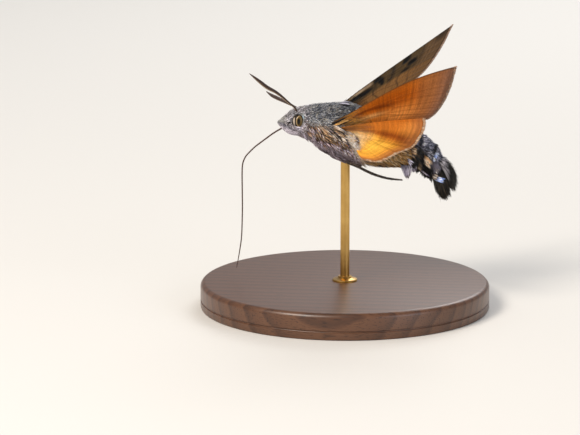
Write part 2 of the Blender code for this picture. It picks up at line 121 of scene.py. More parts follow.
def ringed(name, rings):
    """A closed mesh through rings of points, with a fan over each end."""
    count, sides = rings.shape[:2]
    ends = rings[[0, -1]].mean(axis=1)
    here = np.arange(sides)
    there = (here + 1) % sides
    rows = np.arange(count - 1)[:, None] * sides
    quads = np.stack([rows + here, rows + there, rows + sides + there, rows + sides + here], axis=2)
    first, last = count * sides, count * sides + 1
    base = (count - 1) * sides
    fans = [(first, b, a) for a, b in zip(here.tolist(), there.tolist())]
    fans += [(last, base + a, base + b) for a, b in zip(here.tolist(), there.tolist())]
    mesh = bpy.data.meshes.new(name)
    mesh.from_pydata(
        np.vstack([rings.reshape(-1, 3), ends]).tolist(), [], quads.reshape(-1, 4).tolist() + fans,
    )
    shape = bmesh.new()
    shape.from_mesh(mesh)
    bmesh.ops.recalc_face_normals(shape, faces=shape.faces)
    shape.to_mesh(mesh)
    shape.free()
    return mesh


def turned(name, profile, sides):
    """A lathe-turned mesh from its profile of (radius, height), both ends on the axis."""
    turn = np.linspace(0, math.tau, sides, endpoint=False)
    rings = [[(r * math.cos(a), r * math.sin(a), z) for a in turn] for r, z in profile]
    return ringed(name, np.array(rings))


shoulder = [
    (BASE_RADIUS - SHOULDER + SHOULDER * math.sin(a), BASE_HEIGHT - SHOULDER + SHOULDER * math.cos(a))
    for a in np.radians(np.linspace(84, 0, 9))
]
bead = [
    (BASE_RADIUS - BEAD_DEPTH * math.cos(a), BEAD_HEIGHT + BEAD_DEPTH * math.sin(a))
    for a in np.radians(np.linspace(-90, 90, 7))
]
base_profile = [
    (1e-5, FELT_GAP), (BASE_RADIUS - SHOULDER, FELT_GAP), (BASE_RADIUS - SHOULDER, 0),
    (BASE_RADIUS - 0.35 * SHOULDER, 0), (BASE_RADIUS - 0.1 * SHOULDER, 0.1 * SHOULDER),
    (BASE_RADIUS, 0.35 * SHOULDER), *bead, *shoulder,
    (SOCKET_RADIUS + 0.08 * MM, BASE_HEIGHT), (SOCKET_RADIUS, BASE_HEIGHT - 0.08 * MM),
    (SOCKET_RADIUS, SOCKET_FLOOR - 0.3 * MM), (1e-5, SOCKET_FLOOR - 0.3 * MM),
]
# Oiled walnut: brown with darker growth lines and open pores. A satin gloss over soft grain.
walnut, tree, shader = surface("oiled_walnut", Roughness=0.38, IOR=1.5, Coat_Weight=0.25, Coat_Roughness=0.28)
where = add(tree, "TexCoord").outputs["Object"]
grain_place = add(tree, "Mapping", {"Vector": where, "Scale": (0.16, 1.0, 1.0), "Rotation": (0.35, 0, 0.12)})
warp = add(tree, "TexNoise", {"Vector": grain_place.outputs["Vector"], "Scale": 90.0, "Detail": 3.0})
warped = add(tree, "VectorMath", {0: warp.outputs["Color"], "Scale": 3.4 * MM}, operation="SCALE")
bent = add(
    tree, "VectorMath", {0: grain_place.outputs["Vector"], 1: warped.outputs["Vector"]}, operation="ADD",
)
rings = add(
    tree, "TexWave",
    {"Vector": bent.outputs["Vector"], "Scale": math.tau / (GROWTH_RING * 20), "Distortion": 1.2},
    bands_direction="Y", wave_profile="SAW",
)
wood = ramp(
    tree, rings.outputs["Fac"], (0.0, "#66422a"), (0.6, "#5a3822"), (0.88, "#492c1a"), (1.0, "#5f3c26"),
)
pore_place = add(
    tree, "Mapping", {"Vector": where, "Scale": (1 / PORE_LENGTH, 1 / PORE_WIDTH, 1 / PORE_WIDTH)},
)
pores = add(tree, "TexNoise", {"Vector": pore_place.outputs["Vector"], "Scale": 1.0, "Detail": 2.0})
pore_mark = ramp(tree, pores.outputs["Fac"], (0.30, "#7d6a5c"), (0.46, "#ffffff"))
wood = add(tree, "Mix", {0: 0.75, 6: wood, 7: pore_mark}, data_type="RGBA", blend_type="MULTIPLY")
tree.links.new(wood.outputs[2], shader.inputs["Base Color"])
roughen(tree, shader, pores.outputs["Fac"], 0.03 * MM, 0.5)
base = place("stand_disc", turned("stand_disc", base_profile, 192), walnut, "walnut", "stand_base")
base.data.set_sharp_from_angle(angle=math.radians(40))


# Stand rod and collar
# A brass wire straightened and polished with fine paper, so it has faint lengthwise lines. It is
# pushed into the base, where a small turned collar covers the hole, and ends inside the belly fur.
ROD_RADIUS = 0.7 * MM
COLLAR_RADIUS, COLLAR_HEIGHT = 1.9 * MM, 0.75 * MM
ROD_TOP = float(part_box("stand_rod")[1][2])
BRUSH_SPACING = 0.05 * MM
brass, tree, shader = surface("polished_brass", Metallic=1.0, Roughness=0.32, Base_Color=linear("#c79f5a"))
where = add(tree, "TexCoord").outputs["Object"]
lines = add(tree, "Mapping", {"Vector": where, "Scale": (1 / BRUSH_SPACING, 1 / BRUSH_SPACING, 30.0)})
scratches = add(tree, "TexNoise", {"Vector": lines.outputs["Vector"], "Scale": 1.0, "Detail": 2.0})
tarnish = add(tree, "TexNoise", {"Vector": where, "Scale": 260.0, "Detail": 4.0})
tone = ramp(tree, tarnish.outputs["Fac"], (0.35, "#b58c4b"), (0.65, "#d2ab66"))
tree.links.new(tone, shader.inputs["Base Color"])
roughen(tree, shader, scratches.outputs["Fac"], 0.008 * MM, 0.6)
rod_profile = [(1e-5, SOCKET_FLOOR), (ROD_RADIUS, SOCKET_FLOOR), (ROD_RADIUS, ROD_TOP), (1e-5, ROD_TOP)]
place(
    "stand_wire", turned("stand_wire", rod_profile, 48), brass, "brass_rod", "stand_rod",
).data.set_sharp_from_angle(angle=math.radians(40))
collar_profile = [
    (ROD_RADIUS + 0.01 * MM, BASE_HEIGHT), (COLLAR_RADIUS, BASE_HEIGHT),
    (COLLAR_RADIUS, BASE_HEIGHT + 0.2 * MM), (COLLAR_RADIUS - 0.1 * MM, BASE_HEIGHT + 0.3 * MM),
    (1.25 * MM, BASE_HEIGHT + 0.38 * MM), (1.05 * MM, BASE_HEIGHT + 0.5 * MM),
    (1.05 * MM, BASE_HEIGHT + COLLAR_HEIGHT - 0.06 * MM), (0.98 * MM, BASE_HEIGHT + COLLAR_HEIGHT),
    (ROD_RADIUS + 0.01 * MM, BASE_HEIGHT + COLLAR_HEIGHT),
]
place(
    "stand_collar", turned("stand_collar", collar_profile, 64), brass, "brass_rod",
).data.set_sharp_from_angle(angle=math.radians(35))


# Body skin
# The cuticle under the coat, from the face to the root of the tail, in one closed form. It lies
# inside the coat by the coat's depth and carries the same markings, darker, as fur shades it.
BODY_STATIONS = np.array([
    (-9.8, 28.20, 0.35, 0.40), (-9.2, 28.30, 0.90, 0.85), (-8.3, 28.42, 1.55, 1.55),
    (-7.2, 28.55, 2.05, 2.15), (-6.0, 28.50, 2.42, 2.55), (-4.3, 28.35, 2.90, 3.30),
    (-2.1, 27.95, 3.52, 3.90), (0.1, 27.50, 3.90, 4.05), (2.6, 26.50, 3.85, 3.85),
    (5.3, 25.40, 3.60, 3.70), (7.8, 24.90, 3.10, 3.60), (10.2, 24.45, 2.72, 3.40),
    (12.1, 23.50, 2.38, 3.00), (13.6, 21.80, 1.80, 2.35), (14.6, 20.45, 1.65, 2.45),
    (15.5, 19.20, 1.60, 2.75), (16.2, 18.25, 1.15, 2.50),
])
SKIN_RINGS, SKIN_SIDES = 220, 144
SKIN_END = 14.9
SEGMENT_EDGES = (5.2, 7.2, 9.2, 11.15, 12.35, 13.5)
FUR_SHADE = 0.5


def spline(points, t):
    """The smooth curve through the points, at each t from 0 to the last point's number."""
    points = np.asarray(points, float)
    last = len(points) - 1
    i = np.clip(np.floor(t).astype(int), 0, last - 1)
    f = (t - i)[..., None]
    a, b = points[np.maximum(i - 1, 0)], points[i]
    c, d = points[i + 1], points[np.minimum(i + 2, last)]
    bend = (2 * a - 5 * b + 4 * c - d) * f ** 2 + (3 * b - a - 3 * c + d) * f ** 3
    return b + 0.5 * ((c - a) * f + bend)


def unit(vectors):
    return vectors / np.maximum(np.linalg.norm(vectors, axis=-1, keepdims=True), 1e-12)


table = spline(BODY_STATIONS, np.linspace(0, len(BODY_STATIONS) - 1, 1601))
table_back = unit(np.gradient(table[:, :2], axis=0))


def on_body(x, angle, height):
    """Places on the body at axis place x and height off it in mm, with their outward directions.
    The angle is 0 on the back and goes down the right side; lengths come out in metres."""
    x, angle, height = np.broadcast_arrays(x, angle, height)
    z, depth, width = (np.interp(x, table[:, 0], table[:, i]) for i in (1, 2, 3))
    back_x, back_z = (np.interp(x, table[:, 0], table_back[:, i]) for i in (0, 1))
    c, s = np.cos(angle), np.sin(angle)
    up = np.stack([-back_z, np.zeros_like(c), back_x], axis=-1)
    side = np.array((0.0, 1.0, 0.0))
    out = unit(up * (c / depth)[..., None] + side * (s / width)[..., None])
    centre = np.stack([x, np.zeros_like(c), z], axis=-1)
    spot = centre + up * (depth * c)[..., None] + side * (width * s)[..., None] + out * height[..., None]
    return spot * MM, out


def rise(value, low, high):
    """A smooth step from 0 at low to 1 at high."""
    share = np.clip((value - low) / (high - low), 0, 1)
    return share * share * (3 - 2 * share)


def shade_of(code):
    return np.array(linear(code)[:3])


def over(base, code, amount):
    """The base colours with another laid over them by that amount."""
    return base + (shade_of(code) - base) * np.clip(amount, 0, 1)[..., None]


# Where a patch of the coat has its own colour: axis place, degrees from the back, half length in
# mm, half height in degrees, colour and strength
HEAD_PATCHES = (
    (-7.4, 130, 1.6, 22, "#b3a8b8", 0.80), (-6.95, 104, 0.85, 5, "#cfc6da", 0.60),
    (-8.15, 62, 0.60, 9, "#c9c8d2", 0.90), (-8.15, 85, 0.85, 8, "#0f0c0b", 1.0),
    (-6.22, 60, 0.22, 9, "#c9e6f8", 1.0), (-5.72, 28, 0.15, 14, "#1f2128", 0.95),
    (-5.97, 46, 0.15, 9, "#1f2128", 0.95), (-5.46, 26, 0.12, 16, "#c4c2c6", 0.80),
    (-5.30, 68, 0.26, 8, "#14100e", 0.95), (-5.66, 84, 0.22, 8, "#1b1513", 0.95),
    (-5.52, 108, 0.26, 12, "#bcb0c2", 0.80), (-5.85, 136, 0.45, 12, "#bdb0c3", 0.80),
    (-8.6, 110, 0.5, 8, "#6b5354", 0.60),
)
THORAX_PATCHES = (
    (-4.9, 92, 0.45, 12, "#2b211e", 0.80), (-4.68, 104, 0.35, 8, "#352823", 0.40),
    (-2.4, 103, 1.1, 8, "#ad8757", 0.70), (-3.9, 120, 0.5, 8, "#3a2b26", 0.70),
    (-3.0, 84, 0.7, 4, "#a58563", 0.60), (-0.6, 118, 1.6, 7, "#5e4636", 0.60),
    (-0.9, 68, 0.6, 7, "#b08a5e", 0.80), (-4.0, 62, 1.2, 12, "#9a9ca1", 0.45),
    (-5.54, 20, 0.16, 6, "#ddd5c8", 0.90), (-5.21, 44, 0.20, 8, "#c9c2b6", 0.80),
    (-3.12, 36, 0.20, 14, "#b9ae9e", 0.80), (-3.34, 64, 0.30, 7, "#d2c8b8", 0.85),
    (-4.0, 76, 0.35, 5, "#cfc4b4", 0.85), (-2.43, 152, 0.8, 10, "#b3a3b4", 0.60),
    (-0.36, 136, 1.1, 9, "#a393a8", 0.60),
)
ABDOMEN_PATCHES = (
    (9.0, 100, 0.9, 16, "#b58a52", 0.90), (7.6, 112, 1.0, 20, "#9c7642", 0.85),
    (8.9, 134, 0.5, 8, "#1b130c", 0.85), (7.5, 134, 0.5, 8, "#1f160e", 0.80),
    (6.2, 130, 1.0, 12, "#c09a6a", 0.50), (10.5, 62, 0.35, 9, "#8b8794", 0.75),
    (11.2, 32, 0.16, 30, "#c9c3d2", 0.75), (12.38, 32, 0.14, 22, "#0f1014", 0.95),
    (13.5, 66, 0.75, 16, "#8a8390", 0.85), (13.5, 30, 0.7, 24, "#6f6e7b", 0.80),
    (12.2, 70, 0.35, 8, "#98909a", 0.70),
)


def markings(x, angle, draw, blur=4.0):
    """The coat's colours: blue-grey back, golden side, lilac belly, dark flanks and their patches."""
    degrees = np.degrees(np.abs(angle)) + draw.normal(0, blur, np.shape(x))
    rear = rise(x, 2.6, 5.0)
    tail = rise(x, 13.4, 14.2)
    head = 1 - rise(x, -6.6, -5.4)
    colours = np.zeros(np.shape(x) + (3,)) + shade_of("#6f727c")
    side_from = 78 + 20 * head - 10 * rise(x, -3.0, 0.5)
    side = rise(degrees, side_from - 7, side_from + 9)
    colours = over(colours, "#6c5340", side * (1 - rear))
    colours = over(colours, "#d8cdd5", side * head)
    colours = over(colours, "#bab7b2", head * (1 - side) * 0.8)
    colours = over(colours, "#d0babd", rise(degrees, 120, 144) * (1 - rear))
    colours = over(colours, "#dccfd8", rise(degrees, 108, 130) * (1 - rise(x, -4.8, -3.0)) * 0.9)
    colours = over(colours, "#4f5361", rear * (1 - side) * rise(x, 8.0, 11.0))
    flank = rise(degrees, 46, 60) * rear
    colours = over(colours, "#0d0b09", flank * rise(x, 9.4, 10.2))
    colours = over(colours, "#a87e4c", flank * (1 - rise(x, 9.4, 10.2)))
    colours = over(colours, "#5c4437", rise(degrees, 135, 160) * rear * (1 - rise(x, 9.5, 11)))
    colours = over(colours, "#0f0d0b", tail * rise(degrees, 70, 84))
    colours = over(colours, "#5f5b61", tail * (1 - rise(degrees, 70, 84)))
    for edge in SEGMENT_EDGES:
        line = np.exp(-((x - edge + 0.02) / 0.12) ** 2) * (1 - rise(degrees, 48, 62))
        dark = np.exp(-((x - edge + 0.32) / 0.14) ** 2) * (1 - rise(degrees, 52, 66))
        colours = over(colours, "#1c1d24", dark * 0.8)
        colours = over(colours, "#b7b0bf", line * 0.8)
    for spot_x, spot_angle, half_x, half_angle, code, strength in (
        *HEAD_PATCHES, *THORAX_PATCHES, *ABDOMEN_PATCHES
    ):
        reach = ((x - spot_x) / half_x) ** 2 + ((degrees - spot_angle) / half_angle) ** 2
        colours = over(colours, code, strength * np.exp(-(reach ** 1.5)))
    return colours


def paint(mesh, colours):
    """Gives each vertex its colour in the attribute that the scale materials read."""
    layer = mesh.color_attributes.new("marking", "FLOAT_COLOR", "POINT")
    full = np.ones((len(mesh.vertices), 4), dtype=np.float32)
    full[: len(colours), :3] = colours
    if len(colours) < len(full):
        full[len(colours):, :3] = colours[[0, -1]][: len(full) - len(colours)]
    layer.data.foreach_set("color", full.ravel())


def bake_map(mesh, corners):
    """The UV map that the export bakes into, from one place per face corner."""
    layer = mesh.uv_layers.new(name="OFBake")
    layer.uv.foreach_set("vector", np.clip(corners, 0.001, 0.999).astype(np.float32).ravel())


def corner_vertices(mesh):
    found = np.empty(len(mesh.loops), dtype=np.int32)
    mesh.loops.foreach_get("vertex_index", found)
    return found


def ring_map(mesh, count, sides):
    """Unrolls a ringed mesh: around it runs to the right, along it upward, with no face over the seam."""
    vertices = corner_vertices(mesh)
    ring, turn = np.divmod(vertices, sides)
    around, along = turn / sides, ring / (count - 1)
    for face in mesh.polygons:
        span = range(face.loop_start, face.loop_start + face.loop_total)
        turns = [around[i] for i in span]
        if max(turns) - min(turns) > 0.5:
            for i in span:
                if around[i] < 0.5:
                    around[i] += 1.0
    along = np.clip(along, 0, 1)
    bake_map(mesh, np.stack([0.01 + 0.97 * around * sides / (sides + 1), 0.02 + 0.96 * along], axis=1))


# Scales and hair-like scales: a matt, slightly silky surface whose colour is the marking, broken
# by streaks about 0.08 mm apart, the width of a few scales
SCALE_STREAK = 0.08 * MM


def scaled(name, roughness=0.62, streak=SCALE_STREAK, depth=0.02 * MM, contrast=0.35, sheen=0.12):
    """A material for scaled parts: the marking attribute broken by fine noise, with soft bumps."""
    made, tree, shader = surface(
        name, Roughness=roughness, Specular_IOR_Level=0.35, Sheen_Weight=sheen, Sheen_Roughness=0.45
    )
    colour = add(tree, "Attribute", attribute_name="marking").outputs["Color"]
    where = add(tree, "TexCoord").outputs["Object"]
    fine = add(tree, "TexNoise", {"Vector": where, "Scale": 1 / streak, "Detail": 2.0})
    spread = add(tree, "MapRange", {
        "Value": fine.outputs["Fac"], "From Min": 0.3, "From Max": 0.7,
        "To Min": 1 - contrast, "To Max": 1 + contrast,
    })
    mixed = add(tree, "VectorMath", {0: colour, "Scale": spread.outputs["Result"]}, operation="SCALE")
    tree.links.new(mixed.outputs["Vector"], shader.inputs["Base Color"])
    roughen(tree, shader, fine.outputs["Fac"], depth)
    return made


def coat_depth(x):
    """How far the skin lies inside the body's outer form, in mm."""
    return 0.13 + 0.19 * rise(x, -7.0, -4.5) + 0.2 * rise(x, 12.6, 13.8)


draw = np.random.default_rng(11)
skin_x = np.interp(
    np.linspace(0, 1, SKIN_RINGS),
    np.linspace(0, 1, 401),
    np.interp(np.linspace(0, 1, 401) ** 0.9, np.linspace(0, 1, len(BODY_STATIONS)), BODY_STATIONS[:, 0]),
)
skin_start, skin_length = BODY_STATIONS[0, 0], SKIN_END - BODY_STATIONS[0, 0]
skin_x = skin_start + (skin_x - skin_x[0]) * skin_length / (skin_x[-1] - skin_x[0])
skin_turn = np.linspace(0, math.tau, SKIN_SIDES, endpoint=False)
grid_x, grid_turn = np.meshgrid(skin_x, skin_turn, indexing="ij")
segment = np.zeros_like(grid_x)
for edge in SEGMENT_EDGES:
    behind = grid_x - edge
    segment -= 0.14 * np.exp(-behind / 0.5) * (behind > 0) * rise(behind, 0, 0.08)
skin_rings, _ = on_body(grid_x, grid_turn, -coat_depth(grid_x) + segment)
skin_mesh = ringed("body_skin", skin_rings)
signed_turn = np.where(grid_turn > math.pi, grid_turn - math.tau, grid_turn)
paint(skin_mesh, markings(grid_x, signed_turn, draw, 1.0).reshape(-1, 3) * FUR_SHADE)
ring_map(skin_mesh, SKIN_RINGS, SKIN_SIDES)
place(
    "body_skin", skin_mesh, scaled("scaled_cuticle", depth=0.03 * MM), "thorax_fur",
    "head", "thorax", "abdomen_front", "abdomen_middle", "abdomen_rear", "tail_fan",
)


# Body coat
# Hair-like scales that lie back along the body and overlap like thatch: short and smooth on the
# head and back, longer and shaggy on the thorax side. Each tuft is a thin blade with a point.
BLADE_SHARES = np.array((0.0, 0.30, 0.65, 1.0))
BLADE_BREADTH = np.array((0.70, 1.0, 0.72, 0.0))
BLADE_THICKNESS = 0.32
# Places along the spine of a short and of a long blade, its point among them
SHORT_BLADE, LONG_BLADE = 3, 4
PATCH = 0.003
GOLDEN = 0.6180339887


def blades(name, spines, outs, widths, colours, spots, painted_tip_light=1.18):
    """One mesh of thin three-sided blades. Each follows its spine of places to a point, keeps its
    flat side to the skin, and has a small patch of the bake map at its root's spot."""
    count, steps = spines.shape[:2]
    shares = np.linspace(0, 1, steps)
    breadth = np.interp(shares, BLADE_SHARES, BLADE_BREADTH)
    ahead = unit(np.gradient(spines, axis=1))
    side = unit(np.cross(ahead, outs))
    half = (widths[:, None] * breadth / 2)[..., None]
    body = np.stack([
        spines - side * half,
        spines + side * half,
        spines + outs * (widths[:, None] * breadth * BLADE_THICKNESS)[..., None],
    ], axis=2)[:, :-1]
    vertices = np.concatenate([body.reshape(count, -1, 3), spines[:, -1:]], axis=1)
    per_blade = vertices.shape[1]
    faces = [(0, 1, 2)]
    for row in range(steps - 2):
        for a, b in ((0, 1), (1, 2), (2, 0)):
            low_a, low_b, high_a, high_b = 3 * row + a, 3 * row + b, 3 * row + 3 + a, 3 * row + 3 + b
            faces += [(low_a, high_a, high_b), (low_a, high_b, low_b)]
    last = 3 * (steps - 2)
    faces += [(last + a, per_blade - 1, last + b) for a, b in ((0, 1), (1, 2), (2, 0))]
    faces = np.array(faces)
    triangles = (np.arange(count)[:, None, None] * per_blade + faces).reshape(-1)
    mesh = bpy.data.meshes.new(name)
    mesh.vertices.add(count * per_blade)
    mesh.vertices.foreach_set("co", vertices.astype(np.float32).ravel())
    mesh.loops.add(len(triangles))
    mesh.loops.foreach_set("vertex_index", triangles.astype(np.int32))
    mesh.polygons.add(len(triangles) // 3)
    mesh.polygons.foreach_set("loop_start", np.arange(0, len(triangles), 3, dtype=np.int32))
    mesh.update(calc_edges=True)
    share_of = np.append(np.repeat(shares[:-1], 3), 1.0)
    # Painted shade darkens each blade toward its root, and painted light brightens it toward its tip.
    root_shade_and_tip_light = np.interp(share_of, (0, 0.4, 1), (0.62, 1.0, painted_tip_light))
    paint(mesh, (colours[:, None] * root_shade_and_tip_light[:, None]).reshape(-1, 3))
    offset = np.stack([
        np.append(np.tile((-0.4, 0.4, 0.0), steps - 1), 0.0) * PATCH, (share_of - 0.5) * 0.8 * PATCH
    ], axis=1)
    spots = (spots[:, None] + offset).reshape(-1, 2)
    bake_map(mesh, spots[triangles])
    return mesh


def spread_over(count, low_x, high_x, low_angle, high_angle, draw):
    """Evenly spread roots over a stretch of the body: axis places, signed angles and shares across it."""
    inside = (table[:, 0] >= low_x) & (table[:, 0] <= high_x)
    rows = table[inside]
    weight = np.cumsum((rows[:, 2] + rows[:, 3]) / np.maximum(table_back[inside, 0], 0.3))
    along = (np.arange(count) + 0.5) / count
    x = np.interp(along, weight / weight[-1], rows[:, 0])
    across = (np.arange(count) * GOLDEN) % 1.0
    across = np.clip(across + draw.uniform(-0.01, 0.01, count), 0, 1)
    signed = np.where(across < 0.5, -1, 1)
    angle = low_angle + (high_angle - low_angle) * np.abs(across * 2 - 1)
    return x + draw.uniform(-0.05, 0.05, count), signed * np.radians(angle), along, across


def scatter(row, column, salt):
    """A number from 0 to 1 for each clump of hair, the same on every run."""
    return np.abs(np.sin(row * 12.99 + column * 78.23 + salt) * 4375.85) % 1.0


def lie_back(x, angle, length, lift, fall, clump, draw, steps, cell):
    """Spines that follow the body backward and fall down its side by that angle. Their tips are drawn
    to clumps of about the cell's length and breadth in mm; each spine's clump gives the last numbers."""
    shares = np.linspace(0, 1, steps)
    depth, width = (np.interp(x, table[:, 0], table[:, i]) for i in (2, 3))
    slope = np.interp(x, table[:, 0], table_back[:, 0])
    radius = (depth + width) / 2
    fall = np.radians(fall) + draw.normal(0, 0.12, len(x))
    end_x = x + length * np.cos(fall) * slope
    end_angle = angle + np.sign(angle) * length * np.sin(fall) / radius
    weave = 0.5 * np.sin(end_angle * 5.3 + 1) + 0.4 * np.sin(end_angle * 13.7)
    row = np.floor(end_x / cell[0] + weave)
    turn = cell[1] / radius
    shift = scatter(row, 0, 1.0)
    column = np.floor(end_angle / turn + shift)
    middle_x = (row + 0.1 + 0.8 * scatter(row, column, 2.0) - weave) * cell[0]
    middle_angle = (column + 0.15 + 0.7 * scatter(row, column, 3.0) - shift) * turn
    end_x = end_x + (middle_x - end_x) * clump
    end_angle = end_angle + (middle_angle - end_angle) * clump
    path_x = x[:, None] + (end_x - x)[:, None] * shares
    path_angle = angle[:, None] + (end_angle - angle)[:, None] * shares ** 1.3
    low = -coat_depth(x)[:, None] - 0.08
    raised = lift * (0.7 + 0.6 * scatter(row, column, 5.0))
    height = low + (raised[:, None] - low) * shares ** 0.75
    spines, outs = on_body(path_x, path_angle, height)
    return spines, outs, scatter(row, column, 4.0)


EYE_CENTRE = np.array((-6.93, 1.8, 28.9)) * MM
EYE_RADII = np.array((0.87, 0.78, 0.99)) * MM


def clear_of_eyes(spines, room=0.06 * MM):
    """True for the tufts that keep off both eyes along their whole length."""
    spot = spines.copy()
    spot[..., 1] = np.abs(spot[..., 1])
    inside = np.linalg.norm((spot - EYE_CENTRE) / (EYE_RADII + room), axis=-1)
    return (inside > 1).all(axis=1)


# The single hairs of each region: colour, share of the hairs and strength
BACK_HAIRS = (("#dadbe0", 0.20, 0.70), ("#202228", 0.24, 0.75), ("#b5aa98", 0.10, 0.60))
SIDE_HAIRS = (
    ("#1a1210", 0.27, 0.92), ("#c8935c", 0.15, 0.85), ("#ead9c8", 0.17, 0.92), ("#a595a6", 0.15, 0.85),
)
FACE_HAIRS = (("#4a4146", 0.17, 0.75), ("#e0d8e6", 0.26, 0.80), ("#8a6e66", 0.08, 0.60))
BELLY_HAIRS = (("#d8cad8", 0.30, 0.85), ("#382a29", 0.24, 0.85), ("#a5846a", 0.10, 0.70))
REAR_HAIRS = (("#9a98a8", 0.20, 0.75), ("#14151b", 0.26, 0.80), ("#d3ced8", 0.07, 0.80))
GOLD_HAIRS = (("#d8a966", 0.26, 0.85), ("#1f150d", 0.23, 0.85), ("#e6d0ac", 0.10, 0.85))


def speckled(colours, x, degrees, clump_chance, draw):
    """Breaks the coat's colours up as its light and dark hairs do, most of them a clump at a time."""
    chance = np.where(draw.random(len(x)) < 0.78, clump_chance, draw.random(len(x)))
    head, rear = 1 - rise(x, -6.4, -5.4), rise(x, 2.6, 4.4)
    black = rise(x, 9.4, 10.2) * rise(degrees, 50, 62)
    back, belly = 1 - rise(degrees, 74, 88), rise(degrees, 124, 146)
    side = (1 - back) * (1 - belly)
    for region, hairs in (
        (back * (1 - rear), BACK_HAIRS), (side * (1 - rear) * (1 - head), SIDE_HAIRS),
        (side * head, FACE_HAIRS), (belly * (1 - rear), BELLY_HAIRS), (back * rear * (1 - black), REAR_HAIRS),
        ((1 - back) * rear * (1 - black), GOLD_HAIRS),
    ):
        low = 0.0
        for code, share, strength in hairs:
            colours = over(colours, code, ((chance >= low) & (chance < low + share)) * region * strength)
            low += share
    return colours * draw.uniform(0.85, 1.15, len(x))[:, None]


fur = scaled("hair_scales", roughness=0.55, contrast=0.15, depth=0.01 * MM, sheen=0.10)
bristle = scaled("dark_hair_scales", roughness=0.5, contrast=0.15, depth=0.01 * MM, sheen=0.0)


def pick_shades(codes, count, draw):
    """One of the colour codes at random for each blade."""
    return np.array([shade_of(code) for code in codes])[draw.integers(0, len(codes), count)]


def coat(name, slot, count, x_range, angles, length, width, lift, fall, clump, seed,
         steps=SHORT_BLADE, cell=(0.6, 0.4), finish=fur, codes=None):
    """A stretch of the body's coat. Sizes are in mm, each one number or a function of place and angle;
    it takes the body's markings unless it has colour codes of its own."""
    draw = np.random.default_rng(seed)
    x, angle, along, across = spread_over(count, *x_range, *angles, draw)
    degrees = np.degrees(np.abs(angle))

    def size(value):
        found = value(x, degrees) if callable(value) else value
        return np.broadcast_to(found, x.shape) * 1.0

    reach = size(length) * draw.uniform(0.75, 1.2, count)
    raised = size(lift) + draw.uniform(-0.05, 0.08, count)
    spines, outs, clump_chance = lie_back(x, angle, reach, raised, size(fall), size(clump), draw, steps, cell)
    keep = clear_of_eyes(spines)
    middle = x + reach * 0.4
    if codes:
        colours = pick_shades(codes, count, draw)
    else:
        colours = speckled(markings(middle, angle, draw), middle, degrees, clump_chance, draw)
    spots = np.stack([0.02 + 0.96 * across, 0.02 + 0.96 * along], axis=1)
    widths = size(width) * draw.uniform(0.75, 1.25, count) * MM
    mesh = blades(name, spines[keep], outs[keep], widths[keep], colours[keep], spots[keep])
    return place(name, mesh, finish, slot)


coat(
    "head_coat", "head_fur", 13500, (-9.7, -5.2), (0, 180),
    length=lambda x, a: 0.30 + 0.32 * rise(x, -9.0, -6.0), width=0.08,
    lift=lambda x, a: 0.03 + 0.12 * rise(a, 115, 150) * rise(x, -8.4, -7.2),
    fall=lambda x, a: 8 + 22 * rise(a, 60, 110), clump=0.3, seed=21, cell=(0.30, 0.18),
)
coat(
    "thorax_back_coat", "thorax_fur", 11500, (-5.9, 3.4), (0, 84),
    length=lambda x, a: 0.7 + 0.25 * rise(x, -5.5, -3.0), width=0.09, lift=0.07,
    fall=lambda x, a: 6 + 20 * rise(a, 20, 80), clump=0.3, seed=22, cell=(0.34, 0.17),
)
coat(
    "thorax_side_coat", "thorax_fur", 13500, (-5.9, 3.4), (78, 136),
    length=lambda x, a: 1.3 + 1.0 * rise(x, -5.5, -3.5), width=0.068, lift=0.20,
    fall=lambda x, a: 12 + 28 * (1 - rise(x, -5.6, -1.8)), clump=0.62, seed=23, cell=(1.9, 0.15),
)
coat(
    "thorax_belly_coat", "thorax_fur", 6500, (-6.1, 3.4), (128, 180),
    length=lambda x, a: 1.0 + 0.5 * rise(x, -5.5, -3.5), width=0.11,
    lift=lambda x, a: 0.14 + 0.36 * rise(x, -6.1, -4.7),
    fall=lambda x, a: 12 * (1 - rise(a, 150, 178)), clump=0.5, seed=24, cell=(1.3, 0.24),
)

coat(
    "head_flecks", "head_fur", 2300, (-9.5, -5.4), (0, 170), length=0.40, width=0.15, lift=0.10, fall=14,
    clump=0.1, seed=31,
    codes=("#fffaff", "#1d191b", "#bab1b9", "#e6dfe7", "#4a4246", "#f1eaf2", "#8f7a7c"),
)
coat(
    "thorax_back_flecks", "thorax_fur", 2600, (-5.6, 3.0), (0, 84), length=0.50, width=0.16, lift=0.10,
    fall=14, clump=0.1, seed=32,
    codes=("#f2f2f4", "#0d0e12", "#8f939d", "#cdc0aa", "#4a4e58", "#22252c", "#fffbf2"),
)
coat(
    "thorax_side_locks", "thorax_fur", 2300, (-5.4, 1.6), (84, 134),
    length=lambda x, a: 1.1 + 0.9 * rise(x, -5.5, -3.5), width=0.20, lift=0.29,
    fall=lambda x, a: 14 + 30 * (1 - rise(x, -5.6, -1.8)), clump=0.15, seed=33, steps=LONG_BLADE,
    codes=(
        "#0d0806", "#e6c096", "#1a110d", "#c98f56", "#fff0e0", "#b3a0b4", "#2b1d16", "#8a6a50", "#0d0806",
    ),
)
coat(
    "thorax_belly_locks", "thorax_fur", 1600, (-5.8, 2.6), (124, 180), length=1.3, width=0.18,
    lift=lambda x, a: 0.22 + 0.30 * rise(x, -6.1, -4.7), fall=10, clump=0.2, seed=34, steps=LONG_BLADE,
    codes=("#e6dae8", "#241a1c", "#b9a3b8", "#f4eef8", "#6d5558", "#cdb0ae", "#a18f9e", "#d8ccde"),
)
coat(
    "abdomen_back_flecks", "abdomen_fur", 1500, (3.4, 13.4), (0, 62), length=0.5, width=0.12, lift=0.10,
    fall=6, clump=0.1, seed=35, codes=("#b9bad2", "#0b0c11", "#6b6d80", "#e0dcec", "#20222b", "#50525f"),
)
